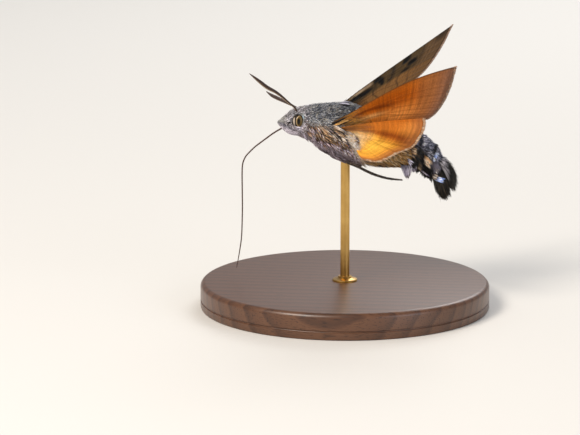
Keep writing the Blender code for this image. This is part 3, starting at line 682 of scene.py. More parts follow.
coat(
    "abdomen_side_locks", "abdomen_fur", 900, (6.4, 10.2), (70, 150), length=0.95, width=0.14, lift=0.20,
    fall=14, clump=0.2, seed=36, steps=LONG_BLADE,
    codes=("#dba862", "#0f0a06", "#b07f3c", "#f6dcb0", "#2b1d10", "#9a6a34", "#c99a52"),
)


def segment_share(x):
    """How far along its segment of the abdomen a place is, from 0 to 1 at the rear edge."""
    edges = np.array((3.2, *SEGMENT_EDGES, 15.0))
    i = np.clip(np.searchsorted(edges, x) - 1, 0, len(edges) - 2)
    return np.clip((x - edges[i]) / (edges[i + 1] - edges[i]), 0, 1)


coat(
    "abdomen_back_coat", "abdomen_fur", 9000, (2.9, 13.9), (0, 84), length=0.62, width=0.10,
    lift=lambda x, a: 0.18 * segment_share(x) ** 1.5 - 0.06, fall=lambda x, a: 10 * rise(a, 10, 60),
    clump=0.3, seed=25, cell=(0.44, 0.15),
)
coat(
    "abdomen_belly_coat", "abdomen_fur", 7500, (2.9, 13.9), (78, 180), length=0.95, width=0.10,
    lift=lambda x, a: 0.10 + 0.12 * segment_share(x), fall=lambda x, a: 14 * (1 - rise(a, 120, 175)),
    clump=0.55, seed=26, cell=(0.8, 0.26),
)
for number, edge in enumerate(SEGMENT_EDGES[1:], 2):
    coat(
        f"segment_fringe_{number}", "abdomen_fur", 520, (edge - 0.22, edge - 0.02), (0, 66), length=0.42,
        width=0.085, lift=0.08, fall=0, clump=0.4, seed=90 + number, cell=(0.8, 0.14),
        codes=("#d3cedb", "#a9a4b3", "#5d5c68", "#e6dfe0", "#1c1c22"),
    )


# Eyes
# Compound eyes, each a glossy dome of small hexagonal lenses that fills the side of the head. The
# thin gold ring round the dark spot lies in the depth of the lenses, so it looks wet.
FACET = 0.055 * MM
EYE_RINGS, EYE_SIDES = 64, 96
glossy, tree, shader = surface(
    "compound_lenses", Roughness=0.28, IOR=1.5, Coat_Weight=0.12, Coat_Roughness=0.08, Specular_IOR_Level=0.22
)
where = add(tree, "TexCoord").outputs["Object"]
tree.links.new(add(tree, "Attribute", attribute_name="marking").outputs["Color"], shader.inputs["Base Color"])
lenses = add(tree, "TexVoronoi", {"Vector": where, "Scale": 1 / FACET, "Randomness": 0.25})
roughen(tree, shader, lenses.outputs["Distance"], -0.006 * MM, 0.5)
for side, word in ((-1, "left"), (1, "right")):
    polar, turn = np.meshgrid(
        np.radians(np.linspace(1.5, 178.5, EYE_RINGS)), np.linspace(0, math.tau, EYE_SIDES, False),
        indexing="ij",
    )
    across = np.sin(polar) * np.cos(turn)
    outward = -np.cos(polar) * side
    upright = np.sin(polar) * np.sin(turn)
    spots = np.stack([across, outward, upright], axis=-1) * EYE_RADII + EYE_CENTRE * (1, side, 1)
    tones = np.zeros(spots.shape) + shade_of("#2c2110")
    ring = np.hypot((across - 0.19) / 0.46, upright / 0.76)
    ahead = rise(0.19 - across, -0.20, 0.25)
    tones = over(tones, "#5e4b26", (1 - rise(ring, 0.75, 0.98)) * (1 - 0.6 * ahead))
    tones = over(tones, "#80693f", np.exp(-((ring - 1.0) / 0.15) ** 2) * (1 - ahead) * 0.8)
    tones = over(tones, "#cbaa7a", np.exp(-((ring - 1.0) / 0.09) ** 2) * ahead)
    tones = over(tones, "#0f0906", np.exp(-((ring - 1.35) / 0.14) ** 2) * 0.9)
    tones = over(
        tones, "#b5a595",
        rise(-across, 0.52, 0.62) * (1 - rise(-across, 0.86, 0.93)) * (1 - rise(upright, 0.4, 0.7)),
    )
    tones = over(
        tones, "#020101", 1 - rise(np.hypot((across - 0.16) / 0.22, (upright - 0.02) / 0.45), 0.85, 1.1),
    )
    tones = over(tones, "#0c0806", rise(np.hypot(across, upright), 0.90, 0.97))
    mesh = ringed("eye_dome_" + word, spots)
    paint(mesh, tones.reshape(-1, 3))
    place("eye_dome_" + word, mesh, glossy, "compound_eye", "eye_" + word)


# Palps
# Two short, thick feelers under the face, pressed together to a point. They are covered with
# close scales, grey above and lilac-white below, which lie forward.
PALP_LEFT = np.array(((-6.6, -0.9, 27.1), (-8.1, -0.9, 27.3), (-9.35, -0.65, 27.9), (-10.28, -0.3, 28.27)))
PALP_RADII = np.array((0.70, 0.72, 0.52, 0.08))
PALP_COAT = 0.07


def curve_frames(points, radii, count):
    """Places, radii and directions along the smooth curve through points in mm."""
    t = np.linspace(0, len(points) - 1, count)
    spots = spline(points, t) * MM
    radius = spline(np.asarray(radii, float)[:, None], t)[:, 0] * MM
    ahead = unit(np.gradient(spots, axis=0))
    across = unit(np.cross(ahead, (0, 1, 0.2)))
    return spots, radius, across, np.cross(ahead, across)


def tube_rings(frames, sides, relief=1.0):
    """Rings round a curve's frames, and each point's outward direction."""
    spots, radius, across, above = frames
    turn = np.linspace(0, math.tau, sides, endpoint=False)[:, None]
    outs = across[:, None] * np.cos(turn) + above[:, None] * np.sin(turn)
    return spots[:, None] + outs * (radius * relief)[:, None, None], outs


def tube_blades(name, frames, count, length, width, lift, seed, tint, low=0.0, high=1.0, steps=SHORT_BLADE):
    """Small blades that lie along a tube toward its end; tint gives colours from share and direction."""
    draw = np.random.default_rng(seed)
    spots, radius, across, above = frames
    total = np.linalg.norm(np.diff(spots, axis=0), axis=1).sum() / MM
    share = low + (high - low) * (np.arange(count) + 0.5) / count
    turn = math.tau * ((np.arange(count) * GOLDEN) % 1.0) + draw.normal(0, 0.1, count)
    reach = length * draw.uniform(0.75, 1.2, count)
    path = np.clip(share[:, None] + (reach / total)[:, None] * np.linspace(0, 1, steps), 0, 1)
    at = path * (len(spots) - 1)
    knots = np.arange(len(spots))

    def along(values):
        return np.stack([np.interp(at, knots, values[:, i]) for i in range(3)], axis=-1)

    outs = unit(along(across) * np.cos(turn)[:, None, None] + along(above) * np.sin(turn)[:, None, None])
    raised = (-0.05 + (lift + 0.05) * np.linspace(0, 1, steps) ** 0.8) * MM
    spines = along(spots) + outs * (np.interp(at, knots, radius) + raised)[..., None]
    colours = tint(share, outs[:, 0], draw)
    spread = np.stack(
        [0.02 + 0.96 * (turn / math.tau) % 1.0, 0.02 + 0.96 * (share - low) / (high - low)], axis=1,
    )
    return blades(name, spines, outs, width * draw.uniform(0.75, 1.25, count) * MM, colours, spread)


def palp_tint(share, outs, draw):
    tones = np.zeros(share.shape + (3,)) + shade_of("#c4b9c7")
    top = rise(outs[..., 2], -0.05, 0.45)
    tones = over(tones, "#5d5c68", np.maximum(top, rise(share, 0.72, 0.95)))
    tones = over(
        tones, "#231f1f", np.exp(-((outs[..., 2] - 0.02) / 0.14) ** 2) * rise(share, 0.35, 0.6) * 0.8,
    )
    chance = draw.random(share.shape)
    tones = over(tones, "#f6f0fa", (chance < 0.26) * (1 - 0.6 * top) * 0.9)
    tones = over(tones, "#4b3d45", (chance > 0.80) * 0.8)
    tones = over(tones, "#43363b", (chance > 0.74) * 0.7)
    return tones * draw.uniform(0.85, 1.15, share.shape)[..., None]


for side, word in ((-1, "left"), (1, "right")):
    frames = curve_frames(PALP_LEFT * (1, -side, 1), PALP_RADII - PALP_COAT, 40)
    rings, outs = tube_rings(frames, 32)
    mesh = ringed("palp_skin_" + word, rings)
    shares = np.broadcast_to(np.linspace(0, 1, 40)[:, None], outs.shape[:2])
    paint(mesh, palp_tint(shares, outs, np.random.default_rng(3)).reshape(-1, 3) * FUR_SHADE)
    place("palp_skin_" + word, mesh, fur, "palp_scales", "palp_" + word)
    mesh = tube_blades("palp_coat_" + word, frames, 2200, 0.42, 0.075, 0.05, 31, palp_tint)
    place("palp_coat_" + word, mesh, fur, "palp_scales")

# The hair of the face lies forward over the palps and makes the snout a point.
SNOUT_TIP = np.array((-10.33, 0, 28.28))
snout_draw = np.random.default_rng(35)
count = 1500
root_x = snout_draw.uniform(-9.65, -8.5, count)
root_angle = np.radians(snout_draw.uniform(-112, 112, count))
roots, snout_outs = on_body(root_x, root_angle, np.full(count, -0.08))
gathered = np.stack([np.zeros(count), roots[:, 1] / MM, roots[:, 2] / MM - SNOUT_TIP[2]], axis=1) * 0.12
goals = (SNOUT_TIP + gathered + snout_draw.normal(0, 0.03, (count, 3))) * MM
share = (snout_draw.uniform(0.45, 1.0, count) * (0.55 + 0.45 * rise(-root_x, 8.6, 9.5)))[:, None, None]
s = np.linspace(0, 1, LONG_BLADE)[None, :, None]
spines = roots[:, None] + (goals - roots)[:, None] * s * share
spines = spines + snout_outs[:, None] * (0.06 * MM) * np.sin(s * math.pi)
tones = markings(root_x, root_angle, snout_draw)
tones = speckled(tones, root_x, np.degrees(np.abs(root_angle)), snout_draw.random(count), snout_draw)
spots = np.stack([0.5 + root_angle / math.tau * 0.9, 0.05 + 0.9 * (root_x + 9.65) / 1.15], axis=1)
snout_outs = np.broadcast_to(snout_outs[:, None], spines.shape)
mesh = blades("snout_hair", spines, snout_outs, snout_draw.uniform(0.05, 0.09, count) * MM, tones, spots)
place("snout_hair", mesh, fur, "head_fur")


# Feelers
# Two clubbed feelers of about sixty short joints, thickest before the hooked tip. Dark scales
# cover the top, and the bare underside is pale and finely haired.
ANTENNAE = {
    "left": (
        (-7.0, -1.0, 29.7), (-7.5, -1.6, 30.8), (-8.3, -2.4, 31.7), (-9.2, -3.2, 32.7),
        (-10.15, -4.0, 33.6), (-11.4, -4.95, 34.5), (-12.6, -6.0, 35.7), (-13.75, -7.0, 36.85),
    ),
    "right": (
        (-6.8, 0.9, 29.7), (-7.2, 1.5, 30.1), (-8.0, 2.5, 30.3), (-9.0, 3.75, 30.5),
        (-10.0, 5.0, 30.7), (-11.0, 6.2, 30.9), (-12.0, 7.4, 31.1), (-13.0, 8.65, 31.5),
    ),
}
ANTENNA_RADII = (0.15, 0.14, 0.15, 0.18, 0.235, 0.285, 0.235, 0.035)
ANTENNA_JOINTS = 58
horn = scaled("dark_horn", roughness=0.42, contrast=0.15, depth=0.008 * MM, sheen=0.05)


def antenna_tint(share, outs, draw):
    tones = np.zeros(share.shape + (3,)) + shade_of("#3c2a22")
    tones = over(tones, "#b79f83", rise(-outs[..., 2], 0.45, 0.75) * (1 - 0.6 * rise(share, 0.7, 0.95)))
    tones = over(tones, "#6b5a54", rise(outs[..., 2], 0.55, 0.95) * 0.5)
    return tones * draw.uniform(0.85, 1.15, share.shape)[..., None]


for word, points in ANTENNAE.items():
    count = ANTENNA_JOINTS * 6
    frames = curve_frames(points, ANTENNA_RADII, count)
    joint = np.arange(count) % 6 / 6
    rings, outs = tube_rings(frames, 20, 1 - 0.07 * (joint > 0.7) + 0.03 * joint)
    mesh = ringed("feeler_" + word, rings)
    shares = np.broadcast_to(np.linspace(0, 1, count)[:, None], outs.shape[:2])
    paint(mesh, antenna_tint(shares, outs, np.random.default_rng(5)).reshape(-1, 3))
    place("feeler_" + word, mesh, horn, "antenna_scales", "antenna_" + word)
    mesh = tube_blades("feeler_scales_" + word, frames, 1400, 0.20, 0.05, 0.025, 33, antenna_tint, high=0.96)
    place("feeler_scales_" + word, mesh, horn, "antenna_scales")


# Tongue
# Two half tubes of springy horn zipped together, ringed all along like a hose. It is out at full
# length, with its knee forward and its thin end straight down.
PROBOSCIS = (
    (-8.6, 0, 27.75), (-9.5, 0, 27.45), (-10.8, 0, 26.68), (-11.9, 0, 25.87), (-12.9, 0, 25.1),
    (-13.8, 0, 24.38), (-14.93, 0, 23.22), (-15.36, 0, 22.55), (-15.64, 0, 21.66), (-15.72, 0, 20.3),
    (-15.71, 0, 18.25), (-15.69, 0, 15.3), (-15.73, 0, 13.05), (-15.84, 0, 10.4), (-16.14, 0, 8.2),
    (-16.6, 0, 5.6),
)
PROBOSCIS_RADII = (
    0.15, 0.14, 0.13, 0.125, 0.12, 0.118, 0.116, 0.115, 0.115, 0.112, 0.11, 0.108, 0.105, 0.10, 0.09,
    0.05,
)
PROBOSCIS_RING = 0.11
length = np.linalg.norm(np.diff(np.array(PROBOSCIS), axis=0), axis=1).sum()
count = int(length / PROBOSCIS_RING) * 4
frames = curve_frames(PROBOSCIS, PROBOSCIS_RADII, count)
rings, outs = tube_rings(frames, 20, 1 + 0.07 * np.sin(np.arange(count) * math.pi / 2))
lobes = 0.86 + 0.22 * np.abs(outs[..., 1])
rings = frames[0][:, None] + (rings - frames[0][:, None]) * lobes[..., None]
mesh = ringed("tongue", rings)
tones = np.zeros(outs.shape) + shade_of("#43261a")
tones = over(tones, "#8a5a38", rise(-outs[..., 0] * 0.5 - outs[..., 2] * 0.5, 0.3, 0.7) * 0.6)
tones = over(tones, "#1c110d", (np.abs(outs[..., 1]) < 0.2) * 0.7)
paint(mesh, tones.reshape(-1, 3))
place(
    "tongue", mesh, horn, "proboscis_cuticle", "proboscis_upper", "proboscis_knee", "proboscis_lower"
)


# Legs
# Six thin legs folded back under the body in flight, dark and scaled, with pairs of spurs and fine
# spines on the shins and feet. Only the hind pair trails clear of the belly fur.
LEG_PATHS = {
    "fore": (
        (-4.2, 0.8, 26.0), (-3.9, 0.85, 24.8), (-3.3, 0.85, 24.3), (-2.4, 0.85, 23.8), (-1.4, 0.9, 23.35),
    ),
    "mid": ((-2.6, 1.5, 25.2), (-2.0, 1.65, 23.8), (-0.9, 1.7, 23.2), (0.9, 1.7, 22.6), (2.6, 1.6, 22.1)),
    "hind": (
        (-1.9, 2.4, 25.2), (-1.4, 2.75, 24.0), (0.35, 2.6, 22.95), (2.1, 2.5, 22.2), (3.5, 2.5, 21.5),
        (4.9, 2.55, 20.95), (6.7, 2.65, 20.5), (8.9, 2.9, 20.35),
    ),
}
LEG_RADII = {
    "fore": (0.24, 0.21, 0.18, 0.15, 0.07), "mid": (0.24, 0.22, 0.18, 0.16, 0.07),
    "hind": (0.27, 0.25, 0.23, 0.21, 0.20, 0.18, 0.16, 0.09),
}
HIND_LEG_RAISED = np.array((0, 0, 0.05, 0.2, 0.5, 0.8, 1.0, 1.1))
FOOT_FROM = {"fore": 0.62, "mid": 0.58, "hind": 0.60}
LEG_RINGS, LEG_SIDES = 150, 16
# Hair on each leg: blades, their length, width and lift in mm, and the share of the leg they reach
LEG_HAIR = {
    "fore": (520, 0.95, 0.09, 0.10, 0.62), "mid": (520, 0.95, 0.09, 0.10, 0.62),
    "hind": (260, 0.8, 0.08, 0.16, 0.24),
}
SPUR_WIDTH = 0.085 * MM


def leg_tint(share, outs, draw):
    tones = np.zeros(share.shape + (3,)) + shade_of("#1b120d")
    tones = over(tones, "#8b7660", (draw.random(share.shape) < 0.14) * 0.7)
    tones = over(tones, "#6b5a58", rise(outs[..., 2], 0.2, 0.8) * (1 - rise(share, 0.4, 0.6)) * 0.6)
    return tones


def shank_tint(share, outs, draw):
    """The long scales of the folded legs, in the belly's colours down to the feet."""
    tones = np.zeros(share.shape + (3,)) + shade_of("#75646b")
    chance = draw.random(share.shape)
    tones = over(tones, "#b5a6b2", (chance < 0.3) * 0.8)
    tones = over(tones, "#3a2c2a", (chance > 0.7) * 0.85)
    return over(tones, "#33251c", rise(share, 0.6, 0.85))


for side, word in ((-1, "left"), (1, "right")):
    for leg, points in LEG_PATHS.items():
        points = np.array(points) * (1, side, 1)
        if leg == "hind" and side == 1:
            points[:, 2] += HIND_LEG_RAISED
        frames = curve_frames(points, LEG_RADII[leg], LEG_RINGS)
        shares = np.linspace(0, 1, LEG_RINGS)
        foot = FOOT_FROM[leg]
        joints = np.abs((shares - foot) / (1 - foot) * 5 % 1 - 0.5)
        relief = 1 + np.where(shares > foot, 0.16 * (joints < 0.38) - 0.1, 0.08 * np.sin(shares * 22))
        rings, outs = tube_rings(frames, LEG_SIDES, relief)
        name = leg + "_leg_" + word
        mesh = ringed(name, rings)
        wide = np.broadcast_to(shares[:, None], outs.shape[:2])
        tint = leg_tint if leg == "hind" else shank_tint
        paint(mesh, tint(wide, outs, np.random.default_rng(8)).reshape(-1, 3) * 0.8)
        place(name, mesh, horn, "leg_scales", "leg_" + leg + "_" + word)
        mesh = tube_blades(name + "_scales", frames, 700, 0.26, 0.055, 0.05, 41, tint, high=0.97)
        place(name + "_scales", mesh, horn, "leg_scales")
        hairs, hair_length, hair_width, hair_lift, hair_end = LEG_HAIR[leg]
        thigh = tube_blades(
            name + "_hair", frames, hairs, hair_length, hair_width, hair_lift, 44, shank_tint,
            high=hair_end, steps=LONG_BLADE,
        )
        place(name + "_hair", thigh, fur, "leg_scales")
        spines = tube_blades(
            name + "_spines", frames, 46, 0.36, 0.05, 0.17, 43, leg_tint, low=foot * 0.6, high=0.97,
        )
        place(name + "_spines", spines, horn, "leg_scales")
        spots, radius, across, above = frames
        # Two pairs of spurs on the shin and the claws, as shares of the leg and lengths in mm
        spur_places = (
            (foot * 0.72, 0.75), (foot * 0.72, 0.5), (foot * 0.98, 1.0), (foot * 0.98, 0.7),
            (0.995, 0.2), (0.995, 0.2),
        )
        spurs = []
        for share, reach in spur_places:
            i = int(share * (LEG_RINGS - 1))
            ahead = unit(spots[min(i + 2, LEG_RINGS - 1)] - spots[i - 2])
            lean = np.array((0, side * (0.25 if len(spurs) % 2 else -0.25), -0.35))
            spurs.append([spots[i] + (ahead + lean * s) * reach * s * MM for s in BLADE_SHARES])
        spurs = np.array(spurs)
        outs = np.broadcast_to((0.0, 0.0, 1.0), spurs.shape)
        tones = np.zeros((len(spurs), 3)) + shade_of("#4a3a2c")
        mesh = blades(
            name + "_spurs", spurs, outs, np.full(len(spurs), SPUR_WIDTH), tones,
            np.full((len(spurs), 2), 0.5),
        )
        place(name + "_spurs", mesh, horn, "leg_scales")


# Flank tufts, belly tufts and tail
# Bundles of long scales that open like fans: black brushes with cream ones down each flank, a
# pointed lilac pair under the belly, and the broad black tail that the moth steers with.
coat(
    "flank_tufts", "abdomen_fur", 4300, (10.1, 13.3), (58, 142), length=1.25, width=0.12,
    lift=lambda x, a: 0.16 + 0.52 * segment_share(x + 0.4), fall=20, clump=0.7, seed=27, steps=LONG_BLADE,
    cell=(0.7, 0.42), finish=bristle,
)


def bundle(name, count, strands, roots, tips, width, codes, seed, slot, finish=fur, loose=0.05, on_skin=True):
    """Strands of long scales on each side, from a line of roots to a line of tips. Each strand has one
    of the colours and its own length and point. A line's two ends are places on the left: along the
    axis in mm, degrees from the back and mm off the body, or else x, y and z in mm."""
    draw = np.random.default_rng(seed)
    strand = draw.integers(0, strands, count)
    pick = draw.permutation(strands) % len(codes)
    extent, drift = draw.uniform(0.72, 1.0, strands), draw.normal(0, 0.3, strands)
    start_at = ((strand + 0.5 + draw.normal(0, 0.30, count)) / strands)[:, None]
    goal_at = ((strand + 0.5 + drift[strand] + draw.normal(0, 0.13, count)) / strands)[:, None]
    roots, tips = np.array(roots), np.array(tips)
    spread = loose * (np.array((1.0, 17.0, 0.6)) if on_skin else np.ones(3))
    start = roots[0] + (roots[1] - roots[0]) * start_at + draw.normal(0, 1, (count, 3)) * spread
    goal = tips[0] + (tips[1] - tips[0]) * goal_at + draw.normal(0, 0.5, (count, 3)) * spread
    begin = draw.uniform(0, 0.35, count)[:, None, None]
    end = (extent[strand] * draw.uniform(0.6, 1.0, count))[:, None, None]
    s = np.linspace(0, 1, LONG_BLADE)[None, :, None]
    path = start[:, None] + (goal - start)[:, None] * (begin + (end - begin) * s)
    sign = np.where(np.arange(count) % 2, 1.0, -1.0)[:, None]
    if on_skin:
        sunk = 0.2 * (1 - s[..., 0]) ** 2
        spines, outs = on_body(path[..., 0], sign * np.radians(path[..., 1]), path[..., 2] - sunk)
    else:
        spines = path * MM
        spines[..., 1] *= -sign
        outs = np.zeros(spines.shape)
        outs[..., 1] = sign
    pick = np.where(draw.random(count) < 0.24, draw.integers(0, len(codes), count), pick[strand])
    tones = np.array([shade_of(code) for code in codes])[pick] * draw.uniform(0.62, 1.28, count)[:, None]
    spots = np.stack([draw.random(count), draw.random(count)], axis=1) * 0.96 + 0.02
    mesh = blades(name, spines, outs, width * draw.uniform(0.9, 1.9, count) * MM, tones, spots)
    return place(name, mesh, finish, slot)


# The streaks and tufts on the left and right: blades, strands, the lines of roots and of tips, the
# blades' width in mm and their colours
HEAD_STREAKS = {
    "eye_stripe": (
        190, 3, ((-9.2, 84, 0.06), (-8.9, 90, 0.06)), ((-7.8, 80, 0.14), (-7.7, 87, 0.14)), 0.055,
        ("#100d0c", "#1d1716"),
    ),
    "brow_streak": (
        120, 2, ((-8.7, 64, 0.05), (-8.6, 71, 0.05)), ((-7.7, 57, 0.12), (-7.6, 63, 0.12)), 0.06,
        ("#cfccd6", "#e6e2ea"),
    ),
    "under_eye_streaks": (
        110, 3, ((-7.7, 105, 0.06), (-7.6, 110, 0.06)), ((-6.3, 101, 0.15), (-6.2, 106, 0.15)), 0.055,
        ("#e6e0ef", "#b3a7bf", "#f4f0f8"),
    ),
    "throat_tuft": (
        300, 5, ((-6.2, 119, 0.1), (-6.2, 145, 0.1)), ((-5.1, 158, 0.5), (-5.1, 168, 0.5)), 0.08,
        ("#c9bfd2", "#a699ac", "#e6e0ee", "#7d6e76"),
    ),
}
THORAX_STREAKS = {
    "neck_streaks": (
        520, 16, ((-5.2, 92, 0.14), (-4.9, 124, 0.16)), ((-3.8, 108, 0.34), (-3.4, 140, 0.38)), 0.06,
        ("#d6c8d6", "#4a3b39", "#b3a1ad", "#ebdfe7", "#85726c"),
    ),
    "side_streaks": (
        700, 18, ((-3.4, 96, 0.26), (-2.7, 112, 0.28)), ((-0.8, 104, 0.42), (-0.4, 121, 0.42)), 0.06,
        ("#c3996a", "#2a1c13", "#d9b48a", "#5a4030", "#a58059", "#3b2a20"),
    ),
    "shoulder_streak_upper": (
        200, 4, ((-1.7, 76, 0.30), (-1.5, 82, 0.32)), ((0.85, 86, 0.46), (0.8, 90, 0.46)), 0.075,
        ("#dccbbc", "#b0906e", "#f0e4d8", "#4a382c"),
    ),
    "shoulder_streak_lower": (
        380, 9, ((-1.5, 86, 0.30), (-1.0, 92, 0.32)), ((0.9, 92, 0.44), (1.0, 99, 0.46)), 0.06,
        ("#c79b6a", "#241812", "#e3c8a4", "#5b3f2a", "#b0896a"),
    ),
    "side_cream_tips": (
        130, 3, ((-0.1, 98, 0.36), (0.05, 102, 0.36)), ((1.1, 101, 0.5), (1.2, 105, 0.5)), 0.075,
        ("#f0e2d2", "#c9a988", "#fdf4ea", "#4a3629"),
    ),
    "belly_lilac_streaks": (
        520, 14, ((-1.9, 120, 0.32), (-1.2, 136, 0.34)), ((1.0, 126, 0.42), (1.4, 144, 0.44)), 0.065,
        ("#c9b9bf", "#33262a", "#9a8890", "#ece0ea", "#6f5a5c"),
    ),
    "shoulder_edges": (
        200, 4, ((-1.6, 3, 0.12), (-1.5, 10, 0.14)), ((0.45, 13, 0.18), (0.35, 19, 0.20)), 0.08,
        ("#b9b6c8", "#dedae6", "#9a98aa"),
    ),
    "shoulder_lines": (
        110, 2, ((-1.5, 13, 0.16), (-1.5, 16, 0.16)), ((0.4, 20, 0.22), (0.35, 23, 0.22)), 0.07,
        ("#121116", "#1d1c22"),
    ),
}
ABDOMEN_STREAKS = {
    "front_cream_streaks": (
        420, 13, ((9.9, 66, 0.45), (10.4, 94, 0.50)), ((11.0, 68, 0.62), (11.1, 96, 0.72)), 0.065,
        ("#d6ae80", "#120d0a", "#f0d4b0", "#6c543f", "#b3a098", "#1d1611"),
    ),
    "rear_cream_streaks": (
        620, 15, ((11.7, 72, 0.50), (12.3, 98, 0.60)), ((13.05, 74, 0.74), (13.35, 95, 0.86)), 0.068,
        ("#f0c696", "#1a130e", "#ffe9cc", "#c9986a", "#15110e", "#e6d0b8"),
    ),
    "rear_grey_streaks": (
        420, 13, ((11.65, 58, 0.28), (11.95, 78, 0.40)), ((12.6, 50, 0.35), (12.75, 72, 0.50)), 0.07,
        ("#e0dce4", "#121114", "#9d99a4", "#2c2a31", "#c4c0c9", "#0a0a0c"),
    ),
    "blue_white_band": (
        300, 5, ((12.4, 34, 0.16), (12.68, 68, 0.24)), ((12.88, 34, 0.26), (13.02, 72, 0.34)), 0.085,
        ("#dfe9ff", "#a9c0fa", "#ffffff", "#c4d5ff"),
    ),
    "tail_root_streaks": (
        320, 8, ((13.05, 74, 0.30), (13.4, 92, 0.30)), ((14.0, 70, 0.36), (14.1, 90, 0.36)), 0.075,
        ("#c9bcb7", "#1d1817", "#f4ebe5", "#5a5150", "#a1948d"),
    ),
    "belly_streaks": (
        240, 6, ((9.7, 104, 0.45), (10.3, 116, 0.55)), ((11.2, 106, 0.70), (11.1, 124, 0.80)), 0.075,
        ("#f0edf6", "#b5acc8", "#dcd6ea", "#4a4350"),
    ),
    "rear_belly_streaks": (
        220, 4, ((12.6, 135, 0.40), (13.05, 124, 0.50)), ((14.05, 118, 0.50), (14.05, 114, 0.55)), 0.085,
        ("#c6bdd4", "#8f86a0", "#e6e0ee"),
    ),
    "segment_edge_dark": (
        200, 10, ((10.4, 10, 0.10), (10.85, 58, 0.12)), ((10.8, 9, 0.18), (11.25, 56, 0.20)), 0.085,
        ("#111218", "#1d1f29", "#2b2d3a"),
    ),
    "segment_edge_pale": (
        260, 14, ((10.75, 10, 0.16), (11.2, 58, 0.18)), ((11.1, 9, 0.26), (11.5, 54, 0.28)), 0.075,
        ("#f4f0fa", "#8f8b9c", "#ffffff", "#3d3c46"),
    ),
    "flank_brown_streaks": (
        360, 22, ((10.3, 62, 0.40), (10.6, 128, 0.42)), ((11.9, 68, 0.66), (12.1, 134, 0.74)), 0.065,
        ("#0b0907", "#4a3b29", "#0d0b09", "#0a0908", "#211a13", "#0b0907", "#0d0b09", "#15110c"),
    ),
    "flank_gold_streaks": (
        260, 12, ((11.4, 98, 0.55), (11.9, 122, 0.55)), ((12.9, 102, 0.84), (13.1, 124, 0.80)), 0.06,
        ("#a8875c", "#0f0c0a", "#3b3027", "#0a0908", "#d8c6a8", "#15110e"),
    ),
    "rear_black_line": (
        140, 7, ((12.1, 10, 0.14), (12.3, 46, 0.16)), ((12.4, 10, 0.22), (12.6, 46, 0.24)), 0.08,
        ("#0b0b0f", "#16161c"),
    ),
}
for first, slot, streaks in (
    (50, "head_fur", HEAD_STREAKS), (60, "thorax_fur", THORAX_STREAKS), (70, "abdomen_fur", ABDOMEN_STREAKS)
):
    for seed, (name, settings) in enumerate(streaks.items(), first):
        bundle(name, *settings, seed, slot)
bundle(
    "belly_tufts", 950, 18, ((8.55, -2.9, 22.6), (10.4, -3.0, 22.7)),
    ((9.6, -1.9, 19.9), (9.8, -1.9, 20.3)), 0.07,
    ("#bab2c6", "#8b8496", "#d9d3e0", "#a69eb4", "#e8e4ee", "#6a6274"), 90, "abdomen_fur", loose=0.06,
    on_skin=False,
)
bundle(
    "belly_wisps", 300, 9, ((9.9, -2.9, 22.6), (11.0, -2.9, 22.5)),
    ((10.2, -2.0, 21.1), (10.9, -2.0, 21.35)), 0.06, ("#d9d2e4", "#a59bb6", "#f0ecf6", "#837a90"), 91,
    "abdomen_fur", loose=0.08, on_skin=False,
)

# The brush's outline from the side: how far up its depth, from -1 to 1, and its tip's x and z in mm
TAIL_TIPS = np.array((
    (-1.0, 14.35, 17.95), (-0.7, 14.9, 17.35), (-0.4, 15.5, 17.2), (-0.12, 15.95, 17.55), (0.1, 16.3, 18.1),
    (0.27, 15.7, 19.6), (0.42, 16.5, 18.4), (0.6, 16.85, 18.45), (0.8, 17.1, 19.5), (1.0, 16.6, 20.95),
))
TAIL_ROOTS = np.array(((13.45, 0, 20.2), (14.8, 0, 22.95)))
TAIL_HALF_WIDTH, TAIL_SPREAD = 1.9, 2.95
tail_middle = TAIL_ROOTS.mean(axis=0)
tail_back = unit(np.array((TAIL_TIPS[:, 1].mean(), 0, TAIL_TIPS[:, 2].mean())) - tail_middle)
tail_up = unit(TAIL_ROOTS[1] - TAIL_ROOTS[0])
TUFTS_UP, TUFTS_ACROSS = 6.5, 6.0
tail_scales = scaled("tail_scales", roughness=0.5, contrast=0.15, depth=0.01 * MM, sheen=0.0)


